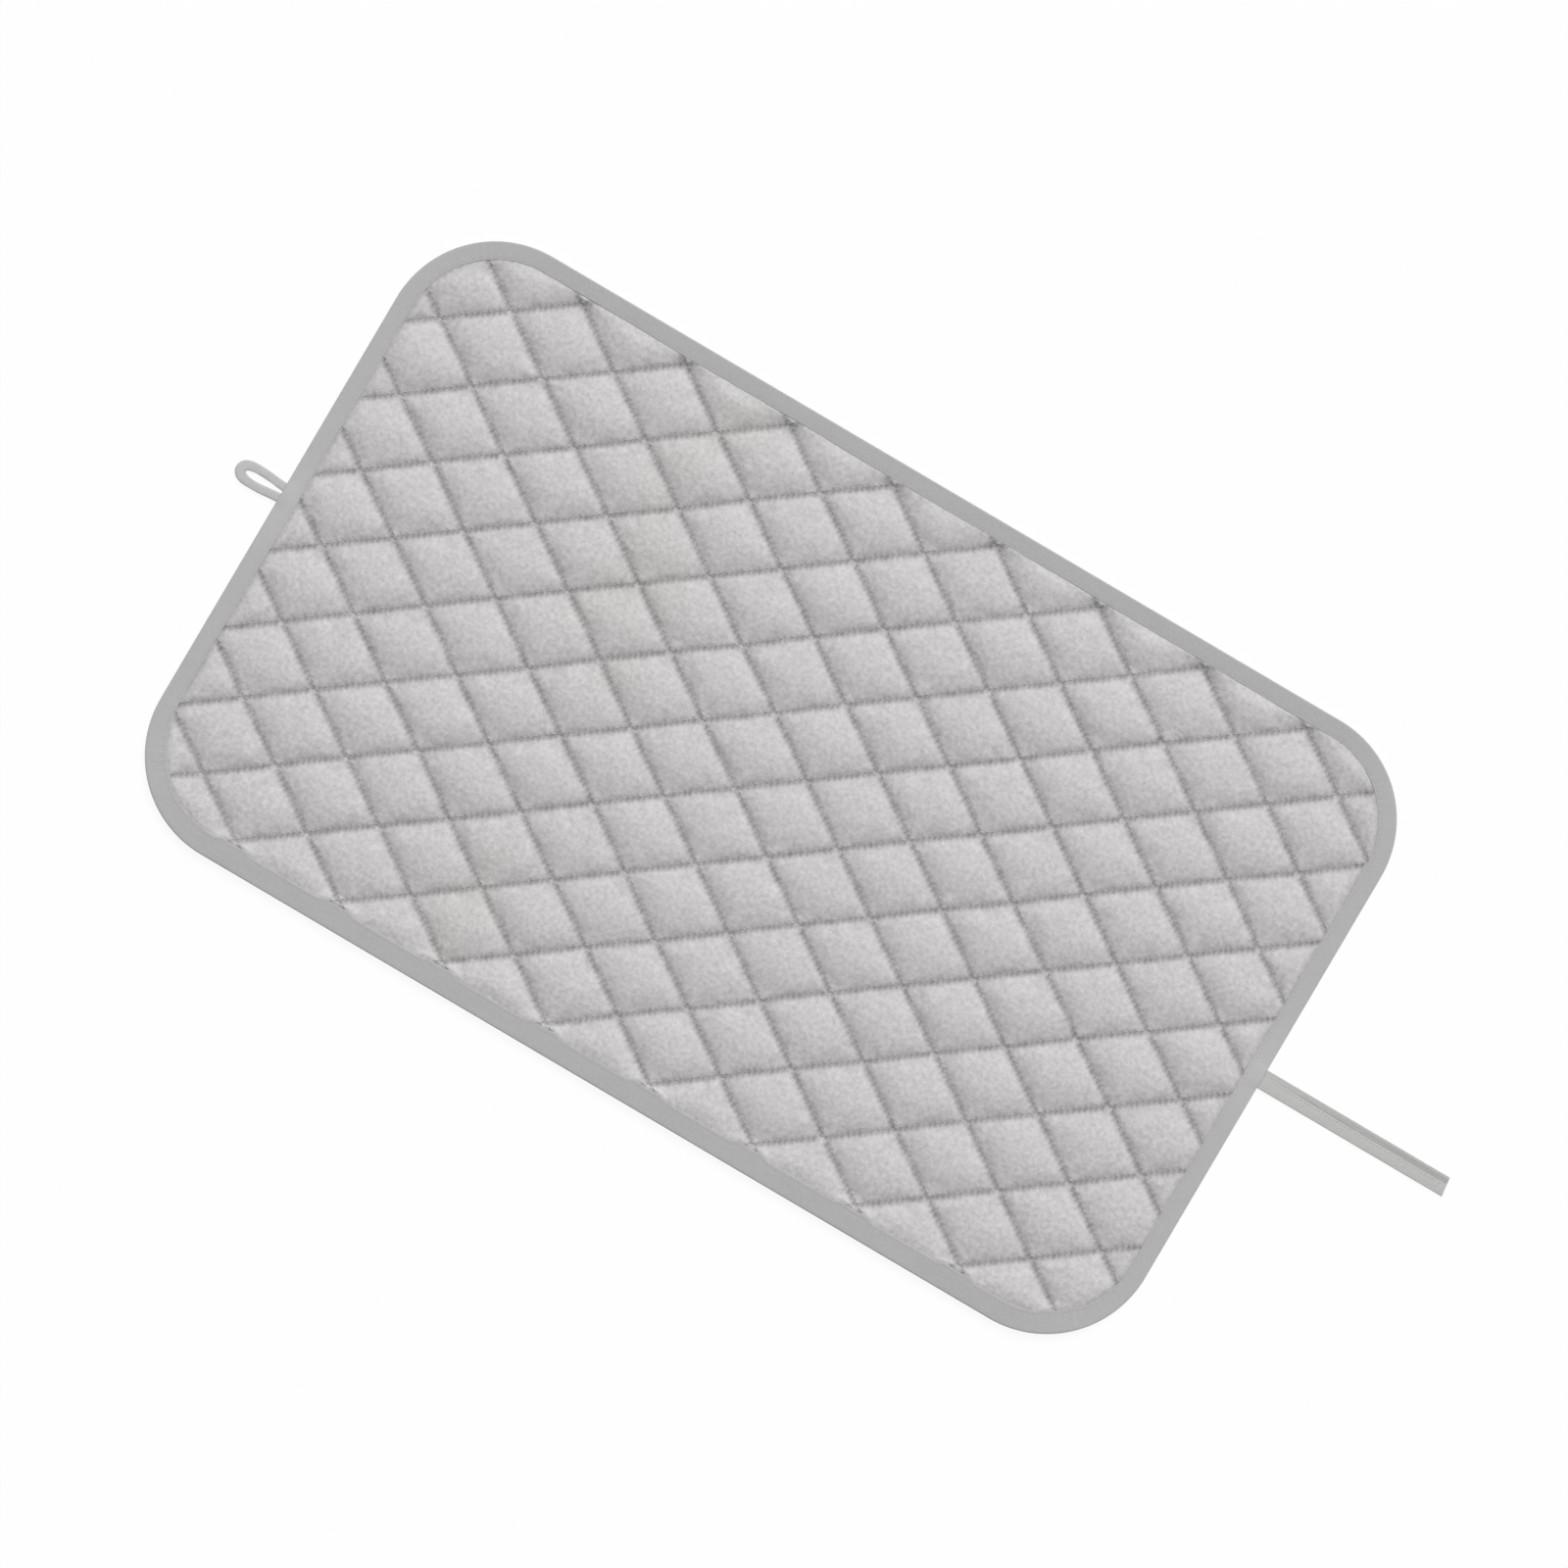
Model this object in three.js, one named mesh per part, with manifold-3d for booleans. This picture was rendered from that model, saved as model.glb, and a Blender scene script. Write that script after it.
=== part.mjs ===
// Quilted ironing pad, lying flat: a coated top cover, wadding and a felt backing sewn together along two
// families of crossing seams and bound round the edge with folded tape. A cord loop for hanging is sewn
// into one short end and a tie strap into the other. Millimetres, +Z up, long side along X.
// The origin is on the surface that the pad lies on, under the middle of the pad.

import * as THREE from 'three';
import Module from 'manifold-3d';

const wasm = await Module();
wasm.setup();

// Pad outline
const PAD_LENGTH = 700;
const PAD_WIDTH = 425;
const CORNER_RADIUS = 70;
const CORNER_STEPS = 8; // straight facets in each round corner
const LEAST_RADIUS = 2; // of a corner line set in from a tight corner

// Layers, from the top down
const COVER_THICKNESS = 0.5;
const CROWN_RISE = 3; // crown of a quilted cell above its seams
const WADDING_AT_SEAM = 0.6; // wadding squeezed flat under a seam
const FELT_AT_SEAM = 0.5; // felt squeezed flat over a seam
const LAYER_GAP = 0.3; // clearance between neighbouring pieces
const RAW_EDGE_INSET = 5.5; // cut edges of the layers, inside the binding's fold

// Quilting seams: the falling family runs down to the right, the rising family up to the right
const FALLING_ANGLE = 34.4;
const FALLING_PITCH = 41.55;
const FALLING_OFFSET = -19; // nearest seam from the middle of the pad, square to the seam
const RISING_ANGLE = 36.5;
const RISING_PITCH = 43.65;
const RISING_OFFSET = 2.8;
const SHORTEST_SEAM = 16; // a shorter corner stretch is not sewn
const CROWN_RIDGE = 0.4; // share of a cell's long diagonal that its crown takes
const FELT_GROOVE = 2.4; // half the width of the groove under a seam
const EDGE_SLOPE = 9; // run from the binding up to the crown height

// Threads
const THREAD_WIDTH = 0.8;
const THREAD_HEIGHT = 0.3;
const SEAT_GAP = 0.1; // clearance of a thread that lies on tape or on another thread

// Edge binding
const BINDING_WIDTH = 11.4;
const FRONT_BINDING_WIDTH = 14; // along the front long side, where the tape shows wider
const TAPE_THICKNESS = 0.6;
const FOLD_STEPS = 4; // facets round the fold
const BINDING_STITCH_INSET = 1.8; // stitch line from the tape's inner edge

// Hanging loop, at the left end
const LOOP_Y = 3.9;
const LOOP_CORD = 5.2; // cord diameter
const LOOP_REACH = 33; // from the pad's edge to the loop's outer tip
const LOOP_ROOT_SPACING = 7.4; // between the two legs' middles at the binding
const LOOP_LEG_HANDLE = 9; // straight run of each leg before it bends out
const LOOP_TIP_HANDLE = 9.2; // roundness of the tip, half its width
const LOOP_PINCH_RUN = 9; // run over which the cord swells from its flat sewn ends
const LOOP_STEPS = 32;
const LOOP_SIDES = 10;

// Tie strap, at the right end
const STRAP_Y = -1.1;
const STRAP_WIDTH = 12.4;
const STRAP_LEAF = 0.6; // one leaf of the folded tape
const STRAP_LENGTH = 131.8; // from the binding, along its longer edge
const STRAP_SLANT = 1.6; // the back edge is cut shorter by this
const STRAP_DROP_RUN = 18; // run from the binding's fold down to the table
const STRAP_BACK_SET = 4.6; // upper leaf's edge from the lower leaf's, towards the free end
const STRAP_ROOT_SET = 3.4; // the same at the binding
const STRAP_SET_RUN = 75; // run over which the upper leaf draws back
const STRAP_STITCH_INSET = 1.4; // edge stitching from the upper leaf's edge

// Heights that follow from the layers: the layers meet the binding squeezed as flat as at a seam
const seamFloor = THREAD_HEIGHT + SEAT_GAP + TAPE_THICKNESS + LAYER_GAP;
const feltTop = seamFloor + FELT_AT_SEAM;
const waddingFloor = feltTop + LAYER_GAP;
const coverFloor = waddingFloor + WADDING_AT_SEAM + LAYER_GAP;
const seamTop = coverFloor + COVER_THICKNESS;
const crownTop = seamTop + CROWN_RISE;
const bindingFloor = seamFloor - LAYER_GAP - TAPE_THICKNESS;
const bindingTop = seamTop + LAYER_GAP + TAPE_THICKNESS;
const foldMiddle = (bindingFloor + bindingTop) / 2;

// Binding's inner edge
const innerRadius = Math.max(CORNER_RADIUS - BINDING_WIDTH, LEAST_RADIUS);
const innerHalfLength = PAD_LENGTH / 2 - BINDING_WIDTH;
const innerBack = PAD_WIDTH / 2 - BINDING_WIDTH;
const innerFront = FRONT_BINDING_WIDTH - PAD_WIDTH / 2;

// Finishes
function finish(color, roughness) {
  return new THREE.MeshStandardMaterial({ color, roughness, metalness: 0 });
}
const silverCloth = finish('#c2c0c1', 0.55);
const fibre = finish('#efeeea', 0.95);
const greyFelt = finish('#8f8f90', 0.95);
const quiltThread = finish('#8a8889', 0.7);
const bindingTape = finish('#b2b2b2', 0.85);
const bindingThread = finish('#a6a6a6', 0.75);
const loopCloth = finish('#bdbdbd', 0.85);
const strapTape = finish('#b8b8b6', 0.85);

// Closed solid from points and triangles, turned outside out if it was built inside in
function shell(points, faces) {
  const a = new THREE.Vector3();
  const b = new THREE.Vector3();
  const c = new THREE.Vector3();
  let volume = 0;
  for (const [i, j, k] of faces) {
    volume += a.copy(points[i]).dot(b.copy(points[j]).cross(c.copy(points[k])));
  }
  const turned = volume < 0 ? faces.map(([i, j, k]) => [i, k, j]) : faces;
  const geometry = new THREE.BufferGeometry().setFromPoints(points);
  geometry.setIndex(turned.flat());
  return geometry;
}

// Solid through rings of points: joined end to end when closed, capped at both ends when not
function loft(rings, closed, capFaces) {
  const count = rings[0].length;
  const spans = closed ? rings.length : rings.length - 1;
  const faces = [];
  for (let r = 0; r < spans; r += 1) {
    const here = r * count;
    const there = ((r + 1) % rings.length) * count;
    for (let k = 0; k < count; k += 1) {
      const next = (k + 1) % count;
      faces.push([here + k, here + next, there + next], [here + k, there + next, there + k]);
    }
  }
  if (!closed) {
    const last = (rings.length - 1) * count;
    for (const [i, j, k] of capFaces) {
      faces.push([i, k, j], [last + i, last + j, last + k]);
    }
  }
  return shell(rings.flat(), faces);
}

// Triangles over a ring with no dents, and over any flat section
function fan(count) {
  return Array.from({ length: count - 2 }, (_, k) => [0, k + 1, k + 2]);
}
function sectionFaces(section) {
  const contour = section.map(([u, v]) => new THREE.Vector2(u, v));
  return THREE.ShapeUtils.triangulateShape(contour, []);
}

// Boolean cuts, whose flat faces are then joined up
const FLATNESS = 0.02;
function solid(geometry) {
  const vertProperties = new Float32Array(geometry.attributes.position.array);
  const triVerts = new Uint32Array(geometry.index.array);
  return new wasm.Manifold(new wasm.Mesh({ numProp: 3, vertProperties, triVerts }));
}
function block(sizeX, sizeY, sizeZ, middle) {
  const box = new THREE.BoxGeometry(sizeX, sizeY, sizeZ).toNonIndexed();
  box.translate(...middle);
  const mesh = new wasm.Mesh({
    numProp: 3,
    vertProperties: new Float32Array(box.attributes.position.array),
    triVerts: Uint32Array.from({ length: box.attributes.position.count }, (_, k) => k),
  });
  mesh.merge();
  return new wasm.Manifold(mesh);
}
function geometryOf(result) {
  const mesh = result.asOriginal().simplify(FLATNESS).getMesh();
  const geometry = new THREE.BufferGeometry();
  const positions = new Float32Array(mesh.numVert * 3);
  for (let v = 0; v < mesh.numVert; v += 1) {
    positions.set(mesh.position(v), v * 3);
  }
  geometry.setAttribute('position', new THREE.BufferAttribute(positions, 3));
  geometry.setIndex(new THREE.BufferAttribute(new Uint32Array(mesh.triVerts), 1));
  return geometry;
}

// Ring of points round the pad, set in from its edge, with its own set-in along the front side
function padRing(inset, frontInset, z) {
  const radius = Math.max(CORNER_RADIUS - inset, LEAST_RADIUS);
  const right = PAD_LENGTH / 2 - inset - radius;
  const back = PAD_WIDTH / 2 - inset - radius;
  const front = frontInset + radius - PAD_WIDTH / 2;
  const corners = [[right, back], [-right, back], [-right, front], [right, front]];
  const ring = [];
  corners.forEach(([x, y], corner) => {
    for (let k = 0; k <= CORNER_STEPS; k += 1) {
      const angle = (corner + k / CORNER_STEPS) * (Math.PI / 2);
      ring.push(new THREE.Vector3(x + radius * Math.cos(angle), y + radius * Math.sin(angle), z));
    }
  });
  return ring;
}
function padLoft(steps, closed) {
  const rings = steps.map(([inset, frontInset, z]) => padRing(inset, frontInset, z));
  return loft(rings, closed, fan(rings[0].length));
}

// Quilting lattice
const falling = { angle: FALLING_ANGLE, pitch: FALLING_PITCH, offset: FALLING_OFFSET, side: 1 };
const rising = { angle: RISING_ANGLE, pitch: RISING_PITCH, offset: RISING_OFFSET, side: -1 };
for (const seams of [falling, rising]) {
  const angle = THREE.MathUtils.degToRad(seams.angle);
  seams.normal = new THREE.Vector2(seams.side * Math.sin(angle), Math.cos(angle));
  seams.along = new THREE.Vector2(Math.cos(angle), -seams.side * Math.sin(angle));
  const reach = (PAD_LENGTH * Math.sin(angle) + PAD_WIDTH * Math.cos(angle)) / 2;
  seams.first = Math.floor((-reach - seams.offset) / seams.pitch);
  seams.last = Math.ceil((reach - seams.offset) / seams.pitch);
}
function seamPlace(seams, number) {
  return seams.offset + number * seams.pitch;
}
function crossing(i, j) {
  const f = seamPlace(falling, i);
  const r = seamPlace(rising, j);
  const spread = falling.normal.cross(rising.normal);
  const x = (f * rising.normal.y - r * falling.normal.y) / spread;
  const y = (r * falling.normal.x - f * rising.normal.x) / spread;
  return new THREE.Vector2(x, y);
}

// One cell's quilted face: corners are bottom, right, top and left, at the seams
function cellMiddle([bottom, , top]) {
  return bottom.clone().add(top).multiplyScalar(0.5);
}
function peakedCell(corners, crownZ, add) {
  const peak = add(cellMiddle(corners).setZ(crownZ));
  return corners.map((corner, k) => [corner.index, corners[(k + 1) % 4].index, peak]);
}
function ridgedCell(corners, crownZ, add) {
  const [, right, , left] = corners;
  const middle = cellMiddle(corners);
  const a = add(middle.clone().lerp(left, CROWN_RIDGE).setZ(crownZ));
  const b = add(middle.clone().lerp(right, CROWN_RIDGE).setZ(crownZ));
  const [s, e, n, w] = corners.map((corner) => corner.index);
  return [[w, s, a], [s, b, a], [s, e, b], [e, n, b], [n, a, b], [n, w, a]];
}
function flatCell(corners, flatZ, add) {
  const middle = cellMiddle(corners);
  const share = 1 - (2 * FELT_GROOVE) / Math.min(FALLING_PITCH, RISING_PITCH);
  const inner = corners.map((corner) => add(middle.clone().lerp(corner, share).setZ(flatZ)));
  const faces = [[inner[0], inner[1], inner[2]], [inner[0], inner[2], inner[3]]];
  for (let k = 0; k < 4; k += 1) {
    const next = (k + 1) % 4;
    faces.push([corners[k].index, corners[next].index, inner[next]]);
    faces.push([corners[k].index, inner[next], inner[k]]);
  }
  return faces;
}

// Block over the whole lattice, quilted on one face and plain on the other, cut to the pad later
function quiltedBlock(seamZ, peakZ, plainZ, cell) {
  const points = [];
  const faces = [];
  const add = (point) => {
    point.index = points.length;
    return points.push(point) - 1;
  };
  const quilted = [];
  const plain = [];
  for (let i = falling.first; i <= falling.last; i += 1) {
    quilted.push([]);
    plain.push([]);
    for (let j = rising.first; j <= rising.last; j += 1) {
      const { x, y } = crossing(i, j);
      quilted.at(-1).push(points[add(new THREE.Vector3(x, y, seamZ))]);
      plain.at(-1).push(add(new THREE.Vector3(x, y, plainZ)));
    }
  }
  const rows = quilted.length - 1;
  const columns = quilted[0].length - 1;
  const wall = (i, j, k, l) => {
    faces.push([quilted[i][j].index, plain[i][j], plain[k][l]]);
    faces.push([quilted[i][j].index, plain[k][l], quilted[k][l].index]);
  };
  for (let i = 0; i < rows; i += 1) {
    for (let j = 0; j < columns; j += 1) {
      const corners = [quilted[i][j], quilted[i + 1][j], quilted[i + 1][j + 1], quilted[i][j + 1]];
      faces.push(...cell(corners, peakZ, add));
      faces.push([plain[i][j], plain[i + 1][j + 1], plain[i + 1][j]]);
      faces.push([plain[i][j], plain[i][j + 1], plain[i + 1][j + 1]]);
    }
    wall(i, 0, i + 1, 0);
    wall(i + 1, columns, i, columns);
  }
  for (let j = 0; j < columns; j += 1) {
    wall(0, j + 1, 0, j);
    wall(rows, j, rows, j + 1);
  }
  return solid(shell(points, faces));
}

// Space that a layer may fill: flat under the binding, then sloping out to the peak of the cells
function layerSpace(inset, plainZ, seamZ, peakZ, slope) {
  const clear = BINDING_WIDTH + LAYER_GAP;
  const frontClear = FRONT_BINDING_WIDTH + LAYER_GAP;
  return solid(padLoft([
    [inset, inset, plainZ],
    [inset, inset, seamZ],
    [clear, frontClear, seamZ],
    [clear + slope, frontClear + slope, peakZ],
  ], false));
}

// Everything below the cover's or the wadding's upper face
const LEVEL_MARGIN = 1; // plain faces that are cut away lie this far off
function belowCover(drop, inset, cell) {
  const plainZ = -LEVEL_MARGIN - drop;
  const cells = quiltedBlock(seamTop - drop, crownTop - drop, plainZ, cell);
  const room = layerSpace(inset, plainZ, seamTop - drop, crownTop - drop, EDGE_SLOPE);
  return cells.intersect(room);
}

// Layers
function topCover() {
  const outside = belowCover(0, RAW_EDGE_INSET, ridgedCell);
  const inside = belowCover(COVER_THICKNESS, RAW_EDGE_INSET - LEVEL_MARGIN, peakedCell);
  return geometryOf(outside.subtract(inside));
}
function wadding() {
  const filled = belowCover(COVER_THICKNESS + LAYER_GAP, RAW_EDGE_INSET, peakedCell);
  const depth = waddingFloor + 2 * LEVEL_MARGIN + crownTop;
  const under = block(PAD_LENGTH, PAD_WIDTH, depth, [0, 0, waddingFloor - depth / 2]);
  return geometryOf(filled.subtract(under));
}
function feltBacking() {
  const cells = quiltedBlock(seamFloor, 0, feltTop, flatCell);
  return geometryOf(cells.intersect(layerSpace(RAW_EDGE_INSET, feltTop, seamFloor, 0, FELT_GROOVE)));
}

// How far a point lies inside the binding's inner edge
function depthInside(x, y) {
  const acrossX = Math.abs(x) - (innerHalfLength - innerRadius);
  const halfWidth = (innerBack - innerFront) / 2;
  const acrossY = Math.abs(y - (innerBack + innerFront) / 2) - (halfWidth - innerRadius);
  const corner = Math.hypot(Math.max(acrossX, 0), Math.max(acrossY, 0));
  return innerRadius - corner - Math.min(Math.max(acrossX, acrossY), 0);
}

// Stretch of a seam that shows between the binding's edges, as distances along the seam
const SEARCH_STEPS = 60;
function seamSpan(seams, number) {
  const place = seamPlace(seams, number);
  const pointAt = (t) => seams.normal.clone().multiplyScalar(place).addScaledVector(seams.along, t);
  const depthAt = (t) => {
    const { x, y } = pointAt(t);
    return depthInside(x, y) - LAYER_GAP - THREAD_WIDTH;
  };
  let low = -PAD_LENGTH;
  let high = PAD_LENGTH;
  for (let step = 0; step < SEARCH_STEPS; step += 1) {
    const third = (high - low) / 3;
    if (depthAt(low + third) < depthAt(high - third)) {
      low += third;
    } else {
      high -= third;
    }
  }
  const deepest = (low + high) / 2;
  if (depthAt(deepest) <= 0) {
    return null;
  }
  const edge = (far) => {
    let inside = deepest;
    let outside = far;
    for (let step = 0; step < SEARCH_STEPS; step += 1) {
      const half = (inside + outside) / 2;
      if (depthAt(half) > 0) {
        inside = half;
      } else {
        outside = half;
      }
    }
    return inside;
  };
  const start = edge(-PAD_LENGTH);
  const end = edge(PAD_LENGTH);
  const middle = pointAt((start + end) / 2);
  return end - start < SHORTEST_SEAM ? null : { length: end - start, middle };
}
function seamsSewn(seams) {
  const numbers = Array.from({ length: seams.last - seams.first + 1 }, (_, k) => seams.first + k);
  return numbers.map((number) => seamSpan(seams, number)).filter((span) => span !== null);
}

// Bobbin threads of the seams, crossing in one net under the pad
// A corner thread that meets no other is left out
function bobbinNet() {
  const z = seamFloor - LAYER_GAP - THREAD_HEIGHT / 2;
  const threads = [falling, rising].flatMap((seams) => seamsSewn(seams).map((span) => {
    const turn = -seams.side * seams.angle;
    const thread = block(span.length, THREAD_WIDTH, THREAD_HEIGHT, [0, 0, z]);
    return thread.rotate([0, 0, turn]).translate([span.middle.x, span.middle.y, 0]);
  }));
  const nets = wasm.Manifold.union(threads).decompose();
  nets.sort((a, b) => b.volume() - a.volume());
  return geometryOf(nets[0]);
}

// Half-round fold of the binding, from its upper leaf to its lower one or back
function foldSteps(radius, downward) {
  const inset = (bindingTop - bindingFloor) / 2;
  return Array.from({ length: FOLD_STEPS + 1 }, (_, k) => {
    const angle = Math.PI * (0.5 - k / FOLD_STEPS) * (downward ? 1 : -1);
    const setIn = inset - radius * Math.cos(angle);
    return [setIn, setIn, foldMiddle + radius * Math.sin(angle)];
  });
}

// Sewn-in ends pass through slits in the binding's fold, up to the layers' cut edges
const tailDepth = RAW_EDGE_INSET - LAYER_GAP;
const tailFloor = seamFloor;
const loopTailWidth = LOOP_ROOT_SPACING + LOOP_CORD;
const loopTailHeight = seamTop - tailFloor;
const strapTailHeight = Math.min(2 * STRAP_LEAF, loopTailHeight);
function tail(side, y, width, height, grow) {
  const middle = [side * (PAD_LENGTH / 2 - tailDepth / 2), y, tailFloor + height / 2];
  return block(tailDepth + grow, width + 2 * grow, height + 2 * grow, middle);
}
const loopTail = (grow) => tail(-1, LOOP_Y, loopTailWidth, loopTailHeight, grow);
const strapTail = (grow) => tail(1, STRAP_Y, STRAP_WIDTH, strapTailHeight, grow);

function edgeBinding() {
  const radius = (bindingTop - bindingFloor) / 2;
  const innerEdge = (z) => [BINDING_WIDTH, FRONT_BINDING_WIDTH, z];
  const tape = solid(padLoft([
    innerEdge(bindingTop),
    ...foldSteps(radius, true),
    innerEdge(bindingFloor),
    innerEdge(bindingFloor + TAPE_THICKNESS),
    ...foldSteps(radius - TAPE_THICKNESS, false),
    innerEdge(bindingTop - TAPE_THICKNESS),
  ], true));
  return geometryOf(tape.subtract(loopTail(LAYER_GAP)).subtract(strapTail(LAYER_GAP)));
}
function bindingStitch(z) {
  const near = BINDING_WIDTH - BINDING_STITCH_INSET;
  const nearFront = FRONT_BINDING_WIDTH - BINDING_STITCH_INSET;
  const far = near - THREAD_WIDTH;
  const farFront = nearFront - THREAD_WIDTH;
  return padLoft([
    [near, nearFront, z],
    [far, farFront, z],
    [far, farFront, z + THREAD_HEIGHT],
    [near, nearFront, z + THREAD_HEIGHT],
  ], true);
}

// Hanging loop: a round cord that leaves the binding, bends round its tip and comes back
const ease = THREE.MathUtils.smoothstep;
const lerp = THREE.MathUtils.lerp;
function hangingLoop() {
  const root = -PAD_LENGTH / 2 - LAYER_GAP;
  const tip = -PAD_LENGTH / 2 - LOOP_REACH + LOOP_CORD / 2;
  const pinched = tailFloor + loopTailHeight / 2;
  const cordPoint = (x, y) => new THREE.Vector3(x, LOOP_Y + y, LOOP_CORD / 2);
  const leg = (side) => new THREE.CubicBezierCurve3(
    cordPoint(root, (side * LOOP_ROOT_SPACING) / 2),
    cordPoint(root - LOOP_LEG_HANDLE, (side * LOOP_ROOT_SPACING) / 2),
    cordPoint(tip, side * LOOP_TIP_HANDLE),
    cordPoint(tip, 0),
  );
  const back = leg(1);
  const front = leg(-1);
  const rings = [];
  for (let step = 0; step <= LOOP_STEPS; step += 1) {
    const share = (2 * step) / LOOP_STEPS;
    const onBack = share <= 1;
    const centre = onBack ? back.getPointAt(share) : front.getPointAt(2 - share);
    const along = onBack ? back.getTangentAt(share) : front.getTangentAt(2 - share).negate();
    const across = new THREE.Vector3(-along.y, along.x, 0);
    const swell = ease(root - centre.x, 0, LOOP_PINCH_RUN);
    const height = lerp(loopTailHeight, LOOP_CORD, swell);
    const middleZ = lerp(pinched, LOOP_CORD / 2, swell);
    const ring = [];
    for (let k = 0; k < LOOP_SIDES; k += 1) {
      const angle = (2 * Math.PI * (k + 0.5)) / LOOP_SIDES;
      const point = centre.clone().addScaledVector(across, (LOOP_CORD / 2) * Math.cos(angle));
      ring.push(point.setZ(middleZ + (height / 2) * Math.sin(angle)));
    }
    rings.push(ring);
  }
  return loft(rings, false, fan(LOOP_SIDES));
}

// Tie strap: a tape folded lengthwise, dropping from the binding's fold to the table
const DROP_STEPS = 6;
const SET_STEPS = 5;
const strapEnd = STRAP_LENGTH - LAYER_GAP;
const strapHeight = (run) => tailFloor * (1 - ease(run, 0, STRAP_DROP_RUN));
const upperLeafEdge = (run) => {
  const set = lerp(STRAP_ROOT_SET, STRAP_BACK_SET, ease(run, 0, STRAP_SET_RUN));
  return STRAP_WIDTH / 2 - set;
};
const strapRuns = [
  ...Array.from({ length: DROP_STEPS }, (_, k) => (STRAP_DROP_RUN * k) / DROP_STEPS),
  ...Array.from({ length: SET_STEPS + 1 }, (_, k) => lerp(STRAP_DROP_RUN, STRAP_SET_RUN, k / SET_STEPS)),
].filter((run) => run < strapEnd - STRAP_SLANT);
strapRuns.push(strapEnd);
function strapLoft(runs, section) {
  const slant = (y) => (STRAP_SLANT * (y + STRAP_WIDTH / 2)) / STRAP_WIDTH;
  const rings = runs.map((run) => {
    const cut = run / strapEnd;
    return section(run).map(([y, z]) => {
      const x = PAD_LENGTH / 2 + LAYER_GAP + run - slant(y) * cut;
      return new THREE.Vector3(x, STRAP_Y + y, strapHeight(run) + z);
    });
  });
  return loft(rings, false, sectionFaces(section(strapEnd)));
}
function tieStrap() {
  const half = STRAP_WIDTH / 2;
  return strapLoft(strapRuns, (run) => [
    [-half, 0],
    [half, 0],
    [half, STRAP_LEAF],
    [upperLeafEdge(run), STRAP_LEAF],
    [upperLeafEdge(run), 2 * STRAP_LEAF],
    [-half, 2 * STRAP_LEAF],
  ]);
}
function strapStitch() {
  const floor = 2 * STRAP_LEAF + SEAT_GAP;
  return strapLoft(strapRuns.slice(1), (run) => {
    const edge = upperLeafEdge(run) - STRAP_STITCH_INSET;
    return [
      [edge - THREAD_WIDTH, floor],
      [edge, floor],
      [edge, floor + THREAD_HEIGHT],
      [edge - THREAD_WIDTH, floor + THREAD_HEIGHT],
    ];
  });
}

// Assembly
const ironingPad = new THREE.Group();
ironingPad.name = 'ironing_pad';
function piece(name, geometry, material) {
  const mesh = new THREE.Mesh(geometry, material);
  mesh.name = name;
  ironingPad.add(mesh);
  return mesh;
}
function seamThreads(family, seams, floor) {
  seamsSewn(seams).forEach((span, k) => {
    const name = `quilt_thread_${family}_${String(k + 1).padStart(2, '0')}`;
    const thread = new THREE.BoxGeometry(span.length, THREAD_WIDTH, THREAD_HEIGHT);
    const mesh = piece(name, thread, quiltThread);
    mesh.position.set(span.middle.x, span.middle.y, floor + THREAD_HEIGHT / 2);
    mesh.rotation.z = -seams.side * THREE.MathUtils.degToRad(seams.angle);
  });
}

piece('top_cover', topCover(), silverCloth);
piece('wadding', wadding(), fibre);
piece('felt_backing', feltBacking(), greyFelt);
piece('edge_binding', edgeBinding(), bindingTape);
piece('binding_needle_thread', bindingStitch(bindingTop + SEAT_GAP), bindingThread);
piece('binding_bobbin_thread', bindingStitch(bindingFloor - SEAT_GAP - THREAD_HEIGHT), bindingThread);
seamThreads('falling', falling, seamTop + LAYER_GAP);
seamThreads('rising', rising, seamTop + LAYER_GAP + THREAD_HEIGHT + SEAT_GAP);
piece('quilt_bobbin_net', bobbinNet(), quiltThread);
piece('loop_sewn_ends', geometryOf(loopTail(0)), loopCloth);
piece('hanging_loop', hangingLoop(), loopCloth);
piece('strap_sewn_end', geometryOf(strapTail(0)), strapTape);
piece('tie_strap', tieStrap(), strapTape);
piece('strap_edge_thread', strapStitch(), bindingThread);

export default ironingPad;
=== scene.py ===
import math

import bpy
import numpy as np
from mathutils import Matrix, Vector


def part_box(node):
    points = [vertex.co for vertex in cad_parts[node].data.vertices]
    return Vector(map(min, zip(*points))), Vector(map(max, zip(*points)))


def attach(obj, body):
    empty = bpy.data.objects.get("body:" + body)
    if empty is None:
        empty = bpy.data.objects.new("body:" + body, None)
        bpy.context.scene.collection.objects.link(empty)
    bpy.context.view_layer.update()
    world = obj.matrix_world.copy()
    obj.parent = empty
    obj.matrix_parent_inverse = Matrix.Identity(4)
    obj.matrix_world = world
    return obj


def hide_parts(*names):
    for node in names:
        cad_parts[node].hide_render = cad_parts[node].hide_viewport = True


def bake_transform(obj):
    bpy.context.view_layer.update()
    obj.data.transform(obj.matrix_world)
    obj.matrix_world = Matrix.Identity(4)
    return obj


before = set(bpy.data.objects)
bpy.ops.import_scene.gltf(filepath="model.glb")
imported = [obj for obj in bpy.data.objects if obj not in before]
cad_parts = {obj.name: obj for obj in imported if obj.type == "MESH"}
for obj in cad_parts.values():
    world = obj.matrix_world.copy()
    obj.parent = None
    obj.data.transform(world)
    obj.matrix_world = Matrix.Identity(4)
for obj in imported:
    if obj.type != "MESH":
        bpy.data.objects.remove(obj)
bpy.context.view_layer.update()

MM = 0.001

# Sizes of the pad, in metres, taken from the frame where it gives them

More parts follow.
